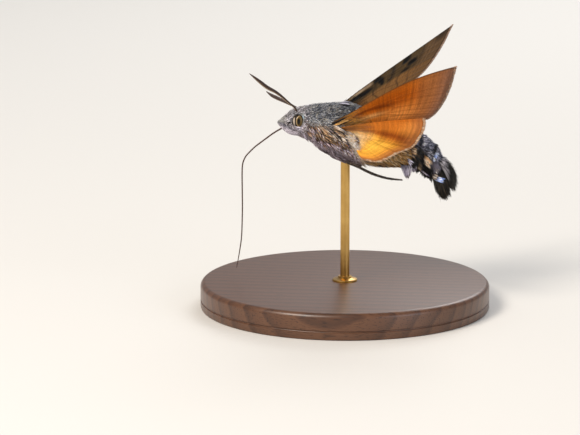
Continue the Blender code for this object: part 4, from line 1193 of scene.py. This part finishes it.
def tail_blades(name, count, low, high, start, reach, codes, seed, painted_tip_light, wild=0.35):
    """The tail's blades between two shares of its depth, in tufts whose tips draw to points."""
    draw = np.random.default_rng(seed)
    turn = draw.uniform(0, math.tau, count)
    out = draw.uniform(0.35, 1.0, count) ** 0.5
    layer, column = np.clip(out * np.cos(turn) * 1.08, -1, 1), out * np.sin(turn)
    layer = low + (high - low) * (layer + 1) / 2
    sway = 0.6 * np.sin(column * 7)
    row = np.floor(layer * TUFTS_UP + sway)
    stagger = scatter(row, 0, 6.0)
    stack = np.floor(column * TUFTS_ACROSS + stagger)
    pull = 0.7 * draw.uniform(0.3, 1.0, count) * (0.4 + scatter(row, stack, 5.0))
    tuft_layer = (row + 0.2 + 0.6 * scatter(row, stack, 1.0) - sway) / TUFTS_UP
    tuft_column = (stack + 0.1 + 0.8 * scatter(row, stack, 2.0) - stagger) / TUFTS_ACROSS
    tip_layer = np.clip(layer + pull * (tuft_layer - layer), -1, 1)
    tip_column = np.clip(column + pull * (tuft_column - column), -1, 1)
    level = tip_layer * (1 - 0.2 * tip_column ** 2)
    tips = np.stack([
        np.interp(level, TAIL_TIPS[:, 0], TAIL_TIPS[:, 1]), tip_column * TAIL_SPREAD,
        np.interp(level, TAIL_TIPS[:, 0], TAIL_TIPS[:, 2]),
    ], axis=1)
    ragged = 0.6 * scatter(row, stack, 7.0) + 0.3 * np.abs(tip_column) ** 3
    ragged = ragged + np.abs(draw.normal(0, 0.32, count))
    tips -= tail_back * (ragged - 0.3)[:, None]
    roots = tail_middle + (TAIL_ROOTS[1] - TAIL_ROOTS[0]) * (layer * 0.46)[:, None]
    roots = roots + tail_back * draw.uniform(*start, count)[:, None]
    roots[:, 1] = column * TAIL_HALF_WIDTH
    outs = unit(tail_up * layer[:, None] + np.array((0, 1.0, 0)) * column[:, None])
    stray = draw.random(count) < wild * (out > 0.7)
    share = draw.uniform(*reach, count) * np.where(stray, draw.uniform(0.35, 0.97, count), 1.0)
    push = np.where(stray, draw.uniform(0.1, 0.8, count), np.abs(draw.normal(0, 0.14, count)))
    tips = roots + (tips - roots) * share[:, None] + outs * push[:, None]
    s = np.linspace(0, 1, LONG_BLADE)[None, :, None]
    spines = roots[:, None] * (1 - s) + tips[:, None] * s + outs[:, None] * 0.2 * np.sin(s * math.pi)
    tones = pick_shades(codes, count, draw)
    tones = tones * (0.6 + 0.8 * scatter(row, stack, 8.0))[:, None]
    spots = np.stack([0.5 + 0.47 * column, 0.5 + 0.47 * layer], axis=1)
    outs = np.broadcast_to(outs[:, None], spines.shape)
    widths = draw.uniform(0.08, 0.15, count) * MM
    # The last number sets how strongly painted light brightens each blade toward its tip.
    mesh = blades(name, spines * MM, outs, widths, tones, spots, painted_tip_light)
    return place(name, mesh, tail_scales, "tail_scales")


tail_blades(
    "tail_brush", 5000, -1.0, 1.0, (-0.4, 0.9), (0.92, 1.03),
    ("#0e0c0a", "#15110d", "#2c241a", "#0b0a08", "#0c0b09"), 61, 2.6,
)
tail_blades(
    "tail_wisps", 1600, -1.0, 1.0, (0.4, 2.4), (0.5, 1.0), ("#14110d", "#2c261d", "#0d0b09", "#3b3427"),
    65, 1.6, 1.0,
)
tail_blades(
    "tail_grey_top", 1200, 0.5, 1.0, (-0.7, 0.3), (0.32, 0.66),
    ("#b3aeb2", "#6b666e", "#dcd5d9", "#2c292e", "#918b90"), 62, 0.8,
)
bundle(
    "tail_white_streaks", 380, 8, ((13.45, -2.4, 21.0), (13.7, -2.45, 20.35)),
    ((15.85, -3.0, 20.6), (15.1, -2.95, 19.95)), 0.09, ("#cfdfff", "#a9c0fa", "#f3f6ff", "#8fa9ea"), 63,
    "tail_scales", tail_scales, 0.05, False,
)
bundle(
    "tail_cream_streaks", 200, 7, ((13.2, -2.4, 21.3), (13.45, -2.45, 20.6)),
    ((14.5, -3.0, 21.2), (14.2, -3.0, 20.5)), 0.075, ("#cbb8a6", "#4b423d", "#e6dace", "#8f8078"), 64,
    "tail_scales", tail_scales, 0.05, False,
)


# Wings
# Thin membranes stiffened by veins that stand proud on both faces, clothed with scales like roof
# tiles. The forewings hook over the hindwings' front edges. Upper sides are grey-brown, lined
# with black, on the forewing and orange on the hindwing; the undersides are rust and yellow.
FOREWING_BASE = np.array((-1.5, 3.8, 29.1))
FOREWING_LENGTH = 22.2
TORNUS_ALONG, TORNUS_ACROSS = 12.3, 6.9
TERMEN_ROUNDING = 1.55
WING_DOME, EDGE_BOW = 0.35, 0.3
WING_STACK, WING_OVERLAP = 0.9, 1.2
HINDWING_REAR_ROOT = np.array((2.2, 2.9, 26.4))
HINDWING_FRONT_ROOT_ACROSS = 4.3
WING_POSES = {
    "left": (
        -1, np.array((0.844, -0.297, 0.447)), np.array((0.536, 0.496, -0.683)), (1.1, 1.5),
        ((12.2, -6.7, 28.9), (10.6, -6.0, 26.2), (8.2, -5.3, 25.0), (5.4, -4.9, 23.6), (2.8, -4.7, 23.9)),
    ),
    "right": (
        1, np.array((0.769, 0.245, 0.591)), np.array((0.398, -0.904, -0.154)), (1.8, 0.42),
        ((12.3, 5.2, 31.2), (10.8, 5.6, 27.6), (8.4, 5.3, 25.0), (5.4, 4.9, 23.6), (2.8, 4.7, 23.9)),
    ),
}
MEMBRANE_HALF = 0.04
VEIN_RISE, VEIN_WIDTH = 0.085, 0.13
FRINGE, FRINGE_ROOTED = 0.45, 0.15
WING_EDGE = 0.985
FOREWING_GRID, HINDWING_GRID = (150, 96), (90, 90)
# Noise cells for each mm from root to tip and from front to back, for the streaks and the scales
STREAKS_PER_MM, TILES_PER_MM = (3.2, 0.22, 1.0), (10.0, 7.0, 1.0)
# How far the pattern of a wing's underside lies from that of its upper side, so that they differ
UNDERSIDE_PATTERN = (0, 0, 7)
FOREWING_VEINS = (
    ((0, 0.02), (0.5, 0.035), (0.97, 0.04)),
    ((0, 0.16), (0.3, 0.15), (0.55, 0.17), (0.97, 0.10)),
    ((0.55, 0.17), (0.75, 0.18), (0.97, 0.19)),
    ((0.52, 0.20), (0.62, 0.27), (0.97, 0.32)),
    ((0.54, 0.40), (0.7, 0.44), (0.97, 0.46)),
    ((0.53, 0.17), (0.50, 0.28), (0.54, 0.40), (0.50, 0.54)),
    ((0, 0.52), (0.3, 0.52), (0.50, 0.54), (0.97, 0.61)),
    ((0.42, 0.53), (0.65, 0.70), (0.97, 0.76)),
    ((0, 0.86), (0.5, 0.88), (0.97, 0.90)),
)
HINDWING_VEINS = (
    ((0, 0.05), (0.5, 0.07), (0.97, 0.10)),
    ((0, 0.24), (0.45, 0.22), (0.97, 0.26)),
    ((0.45, 0.22), (0.42, 0.32), (0.46, 0.42)),
    ((0.46, 0.36), (0.7, 0.38), (0.97, 0.34)),
    ((0, 0.46), (0.46, 0.42), (0.97, 0.42)),
    ((0.35, 0.45), (0.6, 0.54), (0.97, 0.58)),
    ((0, 0.74), (0.5, 0.75), (0.97, 0.76)),
)


def wing_form(roots, margin, bulges, sweep):
    """The function that gives a wing's middle surface in mm from shares out (u) and back (v)."""
    def at(u, v):
        u, v = np.broadcast_arrays(u, v)
        root = roots[0] + (roots[1] - roots[0]) * v[..., None]
        edge = spline(margin, v * (len(margin) - 1))
        front = bulges[0] * ((1 - v) ** 2 * np.sin(math.pi * u ** sweep))[..., None]
        rest = bulges[1] * (v ** 2)[..., None] + bulges[2] * (4 * v * (1 - v))[..., None]
        return root + (edge - root) * u[..., None] + front + rest * np.sin(math.pi * u)[..., None]
    return at


def wing_forms(side, span, chord, costa, hind_margin):
    """Both wings of one side; the hindwing's front edge lies under the forewing's rear edge."""
    base = FOREWING_BASE * (1, side, 1)
    share = 1 - (np.arange(7) / 6) ** 0.8
    margin = base + span * (TORNUS_ALONG + (FOREWING_LENGTH - TORNUS_ALONG) * share)[:, None]
    margin = margin + chord * (TORNUS_ACROSS * (1 - share ** TERMEN_ROUNDING))[:, None]
    rear_root = base + np.array((1.9, -side * 0.15, -0.9))
    tornus = base + span * TORNUS_ALONG + chord * TORNUS_ACROSS
    upper = np.cross(span, chord) * -side
    fore = wing_form(
        (base - span, rear_root), margin, (-chord * costa[0], -chord * EDGE_BOW, upper * WING_DOME), costa[1]
    )
    under = -upper * WING_STACK - chord * WING_OVERLAP
    front_root = rear_root + under
    front_root[1] = side * HINDWING_FRONT_ROOT_ACROSS
    hind = wing_form(
        (front_root, HINDWING_REAR_ROOT * (1, side, 1)),
        np.vstack([tornus + under + span * EDGE_BOW, np.array(hind_margin)]),
        (-chord * EDGE_BOW, np.array((-0.5, side * 0.25, 0)), np.array((0, side * WING_DOME, 0))), 1.0,
    )
    return fore, hind, upper


def wing_mesh(name, at, upper, veins, rows, columns, tints):
    """A closed thin wing with veins raised on both faces, painted by its two faces' colour functions."""
    u, v = np.meshgrid(np.linspace(0.0, WING_EDGE, rows), np.linspace(0, 1, columns), indexing="ij")
    middle = at(u, v)
    facing = unit(np.cross(np.gradient(middle, axis=0), np.gradient(middle, axis=1)))
    facing *= np.sign((facing * upper).sum(axis=-1, keepdims=True).mean())
    nearest = np.full(u.shape, 1e9)
    for vein in veins:
        bends = spline(np.array(vein), np.linspace(0, len(vein) - 1, 60))
        for spot in at(bends[:, 0], bends[:, 1]):
            nearest = np.minimum(nearest, np.linalg.norm(middle - spot, axis=-1))
    ridge = VEIN_RISE * np.exp(-(nearest / VEIN_WIDTH) ** 2) * (1 - rise(u, 0.90, 0.97))
    rim = np.minimum(1, np.minimum(v, 1 - v) * columns / 3 + 0.3)
    pleat = 0.035 * np.sin(v * math.pi * 14) * rise(u, 0.3, 0.7) * rise(nearest, 0.0, 0.4)
    thick = (MEMBRANE_HALF * rim + ridge)[..., None]
    middle = middle + facing * pleat[..., None]
    top, bottom = (middle + facing * thick) * MM, (middle - facing * thick) * MM
    flat = top.size // 3
    i, j = np.meshgrid(np.arange(rows - 1), np.arange(columns - 1), indexing="ij")
    a = (i * columns + j).reshape(-1)
    sheet = np.stack([a, a + 1, a + columns + 1, a + columns], axis=1)
    border = [
        *range(columns), *range(2 * columns - 1, rows * columns, columns),
        *range(rows * columns - 2, (rows - 1) * columns - 1, -1), *range((rows - 2) * columns, 0, -columns),
    ]
    border = np.array(border)
    after = np.roll(border, -1)
    rimmed = np.stack([border, after, after + flat, border + flat], axis=1)
    faces = np.vstack([sheet, sheet[:, ::-1] + flat, rimmed[:, ::-1]])
    mesh = bpy.data.meshes.new(name)
    mesh.from_pydata(np.vstack([top.reshape(-1, 3), bottom.reshape(-1, 3)]).tolist(), [], faces.tolist())
    shape = bmesh.new()
    shape.from_mesh(mesh)
    bmesh.ops.recalc_face_normals(shape, faces=shape.faces)
    shape.to_mesh(mesh)
    shape.free()
    tones = [tint(u, v, nearest).reshape(-1, 3) for tint in tints]
    paint(mesh, np.vstack(tones))
    reach = np.linalg.norm(np.diff(at(u[:, columns // 2], v[:, columns // 2]), axis=0), axis=1).sum()
    breadth = np.linalg.norm(np.diff(at(u[rows // 2], v[rows // 2]), axis=0), axis=1).sum()
    layer = mesh.attributes.new("sheet", "FLOAT_VECTOR", "POINT")
    sheet_place = np.stack([u * reach, v * breadth, np.zeros_like(u)], axis=-1).reshape(-1, 3)
    below = sheet_place + UNDERSIDE_PATTERN
    layer.data.foreach_set("vector", np.vstack([sheet_place, below]).astype(np.float32).ravel())
    return mesh


def blot(u, v, at_u, at_v, half_u, half_v, power=1.5):
    """A soft-edged oval spot on a wing."""
    return np.exp(-((((u - at_u) / half_u) ** 2 + ((v - at_v) / half_v) ** 2) ** power))


def fore_upper(u, v, vein):
    """The forewing's upper side: dark grey-brown in front with black marks, paler and rusty behind."""
    rear = rise(v, 0.36, 0.52)
    tones = np.zeros(u.shape + (3,)) + shade_of("#47361f")
    tones = over(tones, "#76522d", rear)
    tones = over(tones, "#5a432c", rise(u, 0.74, 0.86) * (1 - 0.4 * rear))
    tones = over(tones, "#a08a70", blot(u, v, 0.24, 0.08, 0.07, 0.05, 3.0) * 0.9)
    tones = over(tones, "#8a7560", blot(u, v, 0.33, 0.08, 0.04, 0.06) * 0.7)
    tones = over(tones, "#241a12", (1 - rise(u, 0.08, 0.20)) * 0.7)
    tones = over(tones, "#070504", blot(u, v, 0.21, 0.20, 0.07, 0.08, 3.0))
    tones = over(tones, "#070504", blot(u, v, 0.30, 0.25, 0.07, 0.09, 3.0))
    wave = 0.02 * np.sin(v * 9) + 0.05 * v
    tones = over(tones, "#1c150f", np.exp(-((u - 0.36 - wave) / 0.010) ** 2) * 0.6)
    tones = over(tones, "#040302", blot(u, v, 0.405, 0.10, 0.036, 0.07, 3.0))
    tones = over(tones, "#040302", blot(u, v, 0.44, 0.19, 0.030, 0.09, 3.0))
    tones = over(tones, "#040302", blot(u, v, 0.455, 0.30, 0.020, 0.08, 3.0))
    tones = over(tones, "#241a12", np.exp(-((u - 0.52 - wave) / 0.022) ** 2) * (1 - rear) * 0.8)
    tones = over(tones, "#1c150f", np.exp(-((u - 0.66 - wave * 1.6 + 0.10 * v) / 0.010) ** 2) * 0.6)
    tones = over(tones, "#040302", blot(u, v, 0.645, 0.09, 0.034, 0.07, 3.0))
    tones = over(tones, "#040302", blot(u, v, 0.72, 0.23, 0.045, 0.08, 3.0))
    tones = over(tones, "#040302", blot(u, v, 0.68, 0.35, 0.045, 0.05) * 0.9)
    tones = over(tones, "#2c2018", np.exp(-((u - 0.77 - wave * 1.4 + 0.08 * v) / 0.012) ** 2) * 0.5)
    tones = over(tones, "#251b13", blot(u, v, 0.93, 0.05, 0.06, 0.07) * 0.8)
    tones = over(tones, "#33271d", rise(u, 0.955, 0.985) * 0.7)
    tones = over(tones, "#271d15", np.exp(-(vein / 0.14) ** 2) * 0.3)
    return over(tones, "#1d1712", (1 - rise(v, 0.0, 0.05)) * 0.85)


def fore_under(u, v, vein):
    """The forewing's underside: golden root, rust middle and a purplish outer part."""
    tones = np.zeros(u.shape + (3,)) + shade_of("#c86c18")
    tones = over(tones, "#c98d3a", 1 - rise(u - 0.06 * v, 0.12, 0.34))
    tones = over(tones, "#ac4e00", blot(u, v, 0.52, 0.22, 0.30, 0.22) * 0.9)
    band = np.exp(-((v - 0.19 - 0.5 * np.maximum(u - 0.30, 0)) / 0.06) ** 2) * rise(u, 0.14, 0.26)
    tones = over(tones, "#7b3603", band * (1 - rise(u, 0.48, 0.62)) * 0.85)
    tones = over(tones, "#cf9a5c", blot(u, v, 0.32, 0.52, 0.15, 0.12) * 0.75)
    tones = over(tones, "#8a6226", blot(u, v, 0.16, 0.70, 0.10, 0.24) * 0.8)
    tones = over(tones, "#dd8c42", blot(u, v, 0.62, 0.74, 0.22, 0.32) * 0.85)
    tones = over(tones, "#98571f", blot(u, v, 0.41, 0.92, 0.09, 0.16) * 0.7)
    tones = over(tones, "#2a1a0c", blot(u, v, 0.32, 0.88, 0.011, 0.14) * 0.95)
    tones = over(tones, "#74420f", blot(u, v, 0.49, 0.86, 0.022, 0.12) * 0.6)
    tones = over(tones, "#a86a3c", rise(u, 0.66, 0.86) * 0.85)
    tones = over(tones, "#845f4c", rise(u, 0.84, 0.99) * 0.9)
    tones = over(tones, "#4a2e18", (1 - rise(v, 0.0, 0.04)) * 0.8)
    return over(tones, "#8d501f", np.exp(-(vein / 0.14) ** 2) * 0.25)


def hind_upper(u, v, vein):
    """The hindwing's upper side: orange, with a dark root and a brown border."""
    tones = np.zeros(u.shape + (3,)) + shade_of("#cc7722")
    tones = over(tones, "#6b4c30", (1 - rise(u, 0.08, 0.26)) * 0.8)
    tones = over(tones, "#5c3a22", rise(u - 0.05 * np.sin(v * 9), 0.80, 0.93))
    tones = over(tones, "#d8a05a", rise(v, 0.72, 0.95) * 0.6)
    return over(tones, "#8a4a17", np.exp(-(vein / 0.15) ** 2) * 0.35)


def hind_under(u, v, vein):
    """The hindwing's underside: rust in front, yellow behind a dark line, cream at the body."""
    dark_line_place = 0.22 + 0.17 * u
    tones = np.zeros(u.shape + (3,)) + shade_of("#efaa3c")
    tones = over(tones, "#f9c04a", blot(u, v, 0.46, 0.62, 0.26, 0.16) * 0.8)
    tones = over(tones, "#e38a32", rise(u, 0.70, 0.95) * 0.85)
    front = 1 - rise(v, dark_line_place - 0.02, dark_line_place + 0.06 + 0.12 * rise(u, 0.35, 0.6))
    tones = over(tones, "#b8651a", front)
    tones = over(tones, "#855424", (1 - rise(u, 0.12, 0.50)) * front * 0.9)
    # Painted light: a pale yellow pool that offsets the forewing's shadow over this part.
    tones = over(tones, "#ffc263", blot(u, v, 0.30, 0.42, 0.14, 0.10) * 0.8)
    tones = over(tones, "#e08a38", blot(u, v, 0.86, 0.22, 0.14, 0.16) * 0.8)
    # A dark line along the edge of the rust front.
    tones = over(tones, "#83390a", np.exp(-((v - dark_line_place + 0.02) / 0.05) ** 2) * rise(u, 0.25, 0.6) * 0.8)
    tones = over(tones, "#efdcb8", rise(v, 0.62, 0.95) * (1 - rise(u, 0.20, 0.55)) * 0.9)
    tones = over(tones, "#f0d9b0", rise(v, 0.18, 0.45) * (1 - rise(u, 0.10, 0.46)) * 0.9)
    tones = over(tones, "#9c6238", rise(u, 0.78, 0.97) * 0.75)
    return over(tones, "#c07a2e", np.exp(-(vein / 0.13) ** 2) * 0.12)


def wing_scales(name):
    """Scaled wing membrane: matt, with rows of scales across it and faint dark streaks from front to back."""
    made, tree, shader = surface(name, Roughness=0.75, Specular_IOR_Level=0.12)
    colour = add(tree, "Attribute", attribute_name="marking").outputs["Color"]
    spot = add(tree, "Attribute", attribute_name="sheet").outputs["Vector"]
    streaks = add(tree, "Mapping", {"Vector": spot, "Scale": STREAKS_PER_MM})
    streak = add(tree, "TexNoise", {"Vector": streaks.outputs["Vector"], "Scale": 1.0, "Detail": 3.0})
    rows = add(tree, "Mapping", {"Vector": spot, "Scale": TILES_PER_MM})
    tiles = add(tree, "TexNoise", {"Vector": rows.outputs["Vector"], "Scale": 1.0, "Detail": 1.0})
    first = add(tree, "MapRange", {
        "Value": streak.outputs["Fac"], "From Min": 0.3, "From Max": 0.7, "To Min": 0.68, "To Max": 1.2,
    })
    second = add(tree, "MapRange", {
        "Value": tiles.outputs["Fac"], "From Min": 0.3, "From Max": 0.7, "To Min": 0.8, "To Max": 1.15,
    })
    both = add(tree, "Math", {0: first.outputs["Result"], 1: second.outputs["Result"]}, operation="MULTIPLY")
    mixed = add(tree, "VectorMath", {0: colour, "Scale": both.outputs["Value"]}, operation="SCALE")
    tree.links.new(mixed.outputs["Vector"], shader.inputs["Base Color"])
    roughen(tree, shader, tiles.outputs["Fac"], 0.02 * MM)
    return made


def wing_fringe(name, at, count, codes, seed):
    """The fringe of long scales along a wing's outer margin."""
    draw = np.random.default_rng(seed)
    v = np.clip((np.arange(count) + draw.uniform(0, 1, count)) / count, 0, 1)
    rim = np.full(count, WING_EDGE)
    edge, inner = at(rim, v), at(np.full(count, 0.93), v)
    out = unit(edge - inner)
    ahead = at(rim, np.clip(v + 0.01, 0, 1)) - at(rim, np.clip(v - 0.01, 0, 1))
    facing = unit(np.cross(out, unit(ahead)))
    reach = FRINGE * draw.uniform(0.75, 1.15, count)
    s = np.linspace(0, 1, LONG_BLADE)
    lean = draw.normal(0, 0.12, count)[:, None, None] * unit(ahead)[:, None]
    along = (-FRINGE_ROOTED + s[None, :] * (1 + FRINGE_ROOTED)) * reach[:, None]
    spines = edge[:, None] + (out[:, None] + lean) * along[..., None]
    spines = spines + facing[:, None] * draw.uniform(-0.03, 0.03, count)[:, None, None]
    colours = pick_shades(codes, count, draw)
    spots = np.stack([0.02 + 0.96 * v, draw.uniform(0.05, 0.95, count)], axis=1)
    outs = np.broadcast_to(facing[:, None], spines.shape)
    return blades(name, spines * MM, outs, draw.uniform(0.08, 0.14, count) * MM, colours, spots)


def root_hair(name, at, upper, count, reach_u, length, tints, lights, seed, v_range=(0.01, 0.98), proud=0.12):
    """Hair over a wing's root on both faces, in each face's own colours, that lies outward along it."""
    draw = np.random.default_rng(seed)
    u = draw.uniform(0.0, 1.0, count) ** 1.8 * reach_u
    v = draw.uniform(*v_range, count)
    face = np.where(np.arange(count) % 2, 1.0, -1.0)
    span = np.linalg.norm(at(np.ones(count), v) - at(np.zeros(count), v), axis=1)
    s = np.linspace(0, 1, LONG_BLADE)
    path_u = u[:, None] + (length * draw.uniform(0.5, 1.3, count) / span)[:, None] * s
    path_v = np.clip(v[:, None] + draw.normal(0, 0.02, count)[:, None] * s, 0, 1)
    outs = np.broadcast_to((upper * face[:, None])[:, None], path_u.shape + (3,))
    height = 0.02 + proud * s ** 0.8 * draw.uniform(0.3, 1.5, count)[:, None]
    spines = at(path_u, path_v) + outs * height[..., None]
    place_on_wing = (path_u.mean(axis=1), v, np.ones(count))
    colours = np.where(face[:, None] > 0, tints[0](*place_on_wing), tints[1](*place_on_wing))
    colours = colours * draw.choice(lights, count)[:, None]
    spots = np.stack([0.02 + 0.96 * v, 0.02 + 0.96 * u / reach_u], axis=1)
    return blades(name, spines * MM, outs, draw.uniform(0.05, 0.10, count) * MM, colours, spots)


def plain(code):
    """A wing's colour function that gives the one colour all over."""
    return lambda u, v, vein: np.zeros(u.shape + (3,)) + shade_of(code)


# Bars of long scales on the forewing's root: colour of the upper side and of the underside, the
# span of v that they lie in and how far they stand off the wing in mm
ROOT_BARS = (
    ("#5d5347", "#0d0906", (0.01, 0.09), 0.22), ("#c6a97c", "#eab56a", (0.12, 0.22), 0.34),
    ("#1c1611", "#120b06", (0.25, 0.33), 0.24), ("#6f5a41", "#c08c4a", (0.42, 0.60), 0.16),
)
FORE_TINTS, HIND_TINTS = (fore_upper, fore_under), (hind_upper, hind_under)
wing_finish = wing_scales("wing_scales")
for word, (side, span, chord, costa, margin) in WING_POSES.items():
    fore, hind, upper = wing_forms(side, span, chord, costa, margin)
    mesh = wing_mesh("forewing_" + word, fore, upper, FOREWING_VEINS, *FOREWING_GRID, FORE_TINTS)
    place("forewing_membrane_" + word, mesh, wing_finish, "forewing_scales", "forewing_" + word)
    mesh = wing_mesh("hindwing_" + word, hind, upper, HINDWING_VEINS, *HINDWING_GRID, HIND_TINTS)
    place("hindwing_membrane_" + word, mesh, wing_finish, "hindwing_scales", "hindwing_" + word)
    mesh = wing_fringe("forewing_fringe_" + word, fore, 800, ("#8a6a52", "#a37c60", "#6f584a", "#b88c68"), 82)
    place("forewing_fringe_" + word, mesh, fur, "forewing_scales")
    mesh = wing_fringe("hindwing_fringe_" + word, hind, 620, ("#e6bf98", "#d6a87e", "#f3d9b8", "#b9875f"), 83)
    place("hindwing_fringe_" + word, mesh, fur, "hindwing_scales")
    mesh = root_hair(
        "forewing_root_hair_" + word, fore, upper, 1300, 0.24, 1.1, FORE_TINTS,
        (0.4, 0.75, 1.0, 1.3), 84,
    )
    place("forewing_root_hair_" + word, mesh, fur, "forewing_scales")
    mesh = root_hair(
        "hindwing_root_hair_" + word, hind, upper, 1100, 0.34, 1.0, HIND_TINTS,
        (0.85, 1.0, 1.15), 85,
    )
    place("hindwing_root_hair_" + word, mesh, fur, "hindwing_scales")
    for number, (above, below, v_range, proud) in enumerate(ROOT_BARS):
        name = f"forewing_root_bar_{number}_{word}"
        mesh = root_hair(
            name, fore, upper, 240, 0.09, 1.5, (plain(above), plain(below)), (0.5, 0.95, 1.15),
            87 + number, v_range, proud,
        )
        place(name, mesh, fur, "forewing_scales")
bundle(
    "wing_root_hair", 1900, 80, ((0.5, 88, 0.3), (3.3, 130, 0.3)), ((1.8, 86, 0.72), (4.2, 118, 0.78)), 0.05,
    ("#efe0cf", "#dccaba", "#f8efe6", "#c0ab9c", "#e6c494", "#fbf5ee"), 86, "thorax_fur", loose=0.30,
)


# Floor, light and camera
# The photograph's viewing angle, from the moth's left and a little above, over a plain pale floor
# with soft studio light from the upper left.
CAMERA_AZIMUTH, CAMERA_ELEVATION = math.radians(6), math.radians(12)
CAMERA_DISTANCE = 0.490
CAMERA_TARGET = np.array((-8.36 / math.cos(CAMERA_AZIMUTH), 0, 13.6)) * MM
floor_mesh = bpy.data.meshes.new("floor")
floor_mesh.from_pydata([(-3, -3, 0), (3, -3, 0), (3, 3, 0), (-3, 3, 0)], [], [(0, 1, 2, 3)])
floor = bpy.data.objects.new("floor", floor_mesh)
bpy.context.scene.collection.objects.link(floor)
paper, tree, shader = surface("pale_paper", Roughness=0.9, Base_Color=linear("#e6e3de"))
floor_mesh.materials.append(paper)


def area_light(name, spot, size, power, code):
    """A soft square light that faces the moth, with its place in metres."""
    data = bpy.data.lights.new(name, "AREA")
    data.energy = power
    data.size = size
    data.color = linear(code)[:3]
    lamp = bpy.data.objects.new(name, data)
    lamp.location = spot
    lamp.rotation_euler = (Vector(CAMERA_TARGET) - Vector(spot)).to_track_quat("-Z", "Y").to_euler()
    bpy.context.scene.collection.objects.link(lamp)


area_light("key_light", (-0.26, -0.34, 0.42), 0.22, 3.0, "#fff6ea")
area_light("fill_light", (0.42, -0.30, 0.16), 0.30, 0.7, "#eef3ff")
area_light("back_light", (0.10, 0.40, 0.36), 0.30, 1.2, "#ffffff")
world = bpy.data.worlds.new("studio")
world.use_nodes = True
world.node_tree.nodes["Background"].inputs["Color"].default_value = linear("#eef0f3")
world.node_tree.nodes["Background"].inputs["Strength"].default_value = 0.42
bpy.context.scene.world = world
bpy.context.scene.view_settings.view_transform = "Standard"

lens = bpy.data.cameras.new("camera")
lens.lens = 200
lens.sensor_width = 36
lens.clip_start, lens.clip_end = 0.01, 10
camera = bpy.data.objects.new("camera", lens)
away = np.array((
    math.sin(CAMERA_AZIMUTH) * math.cos(CAMERA_ELEVATION),
    -math.cos(CAMERA_AZIMUTH) * math.cos(CAMERA_ELEVATION),
    math.sin(CAMERA_ELEVATION),
))
camera.location = CAMERA_TARGET + away * CAMERA_DISTANCE
camera.rotation_euler = (math.pi / 2 - CAMERA_ELEVATION, 0, CAMERA_AZIMUTH)
bpy.context.scene.collection.objects.link(camera)
bpy.context.scene.camera = camera
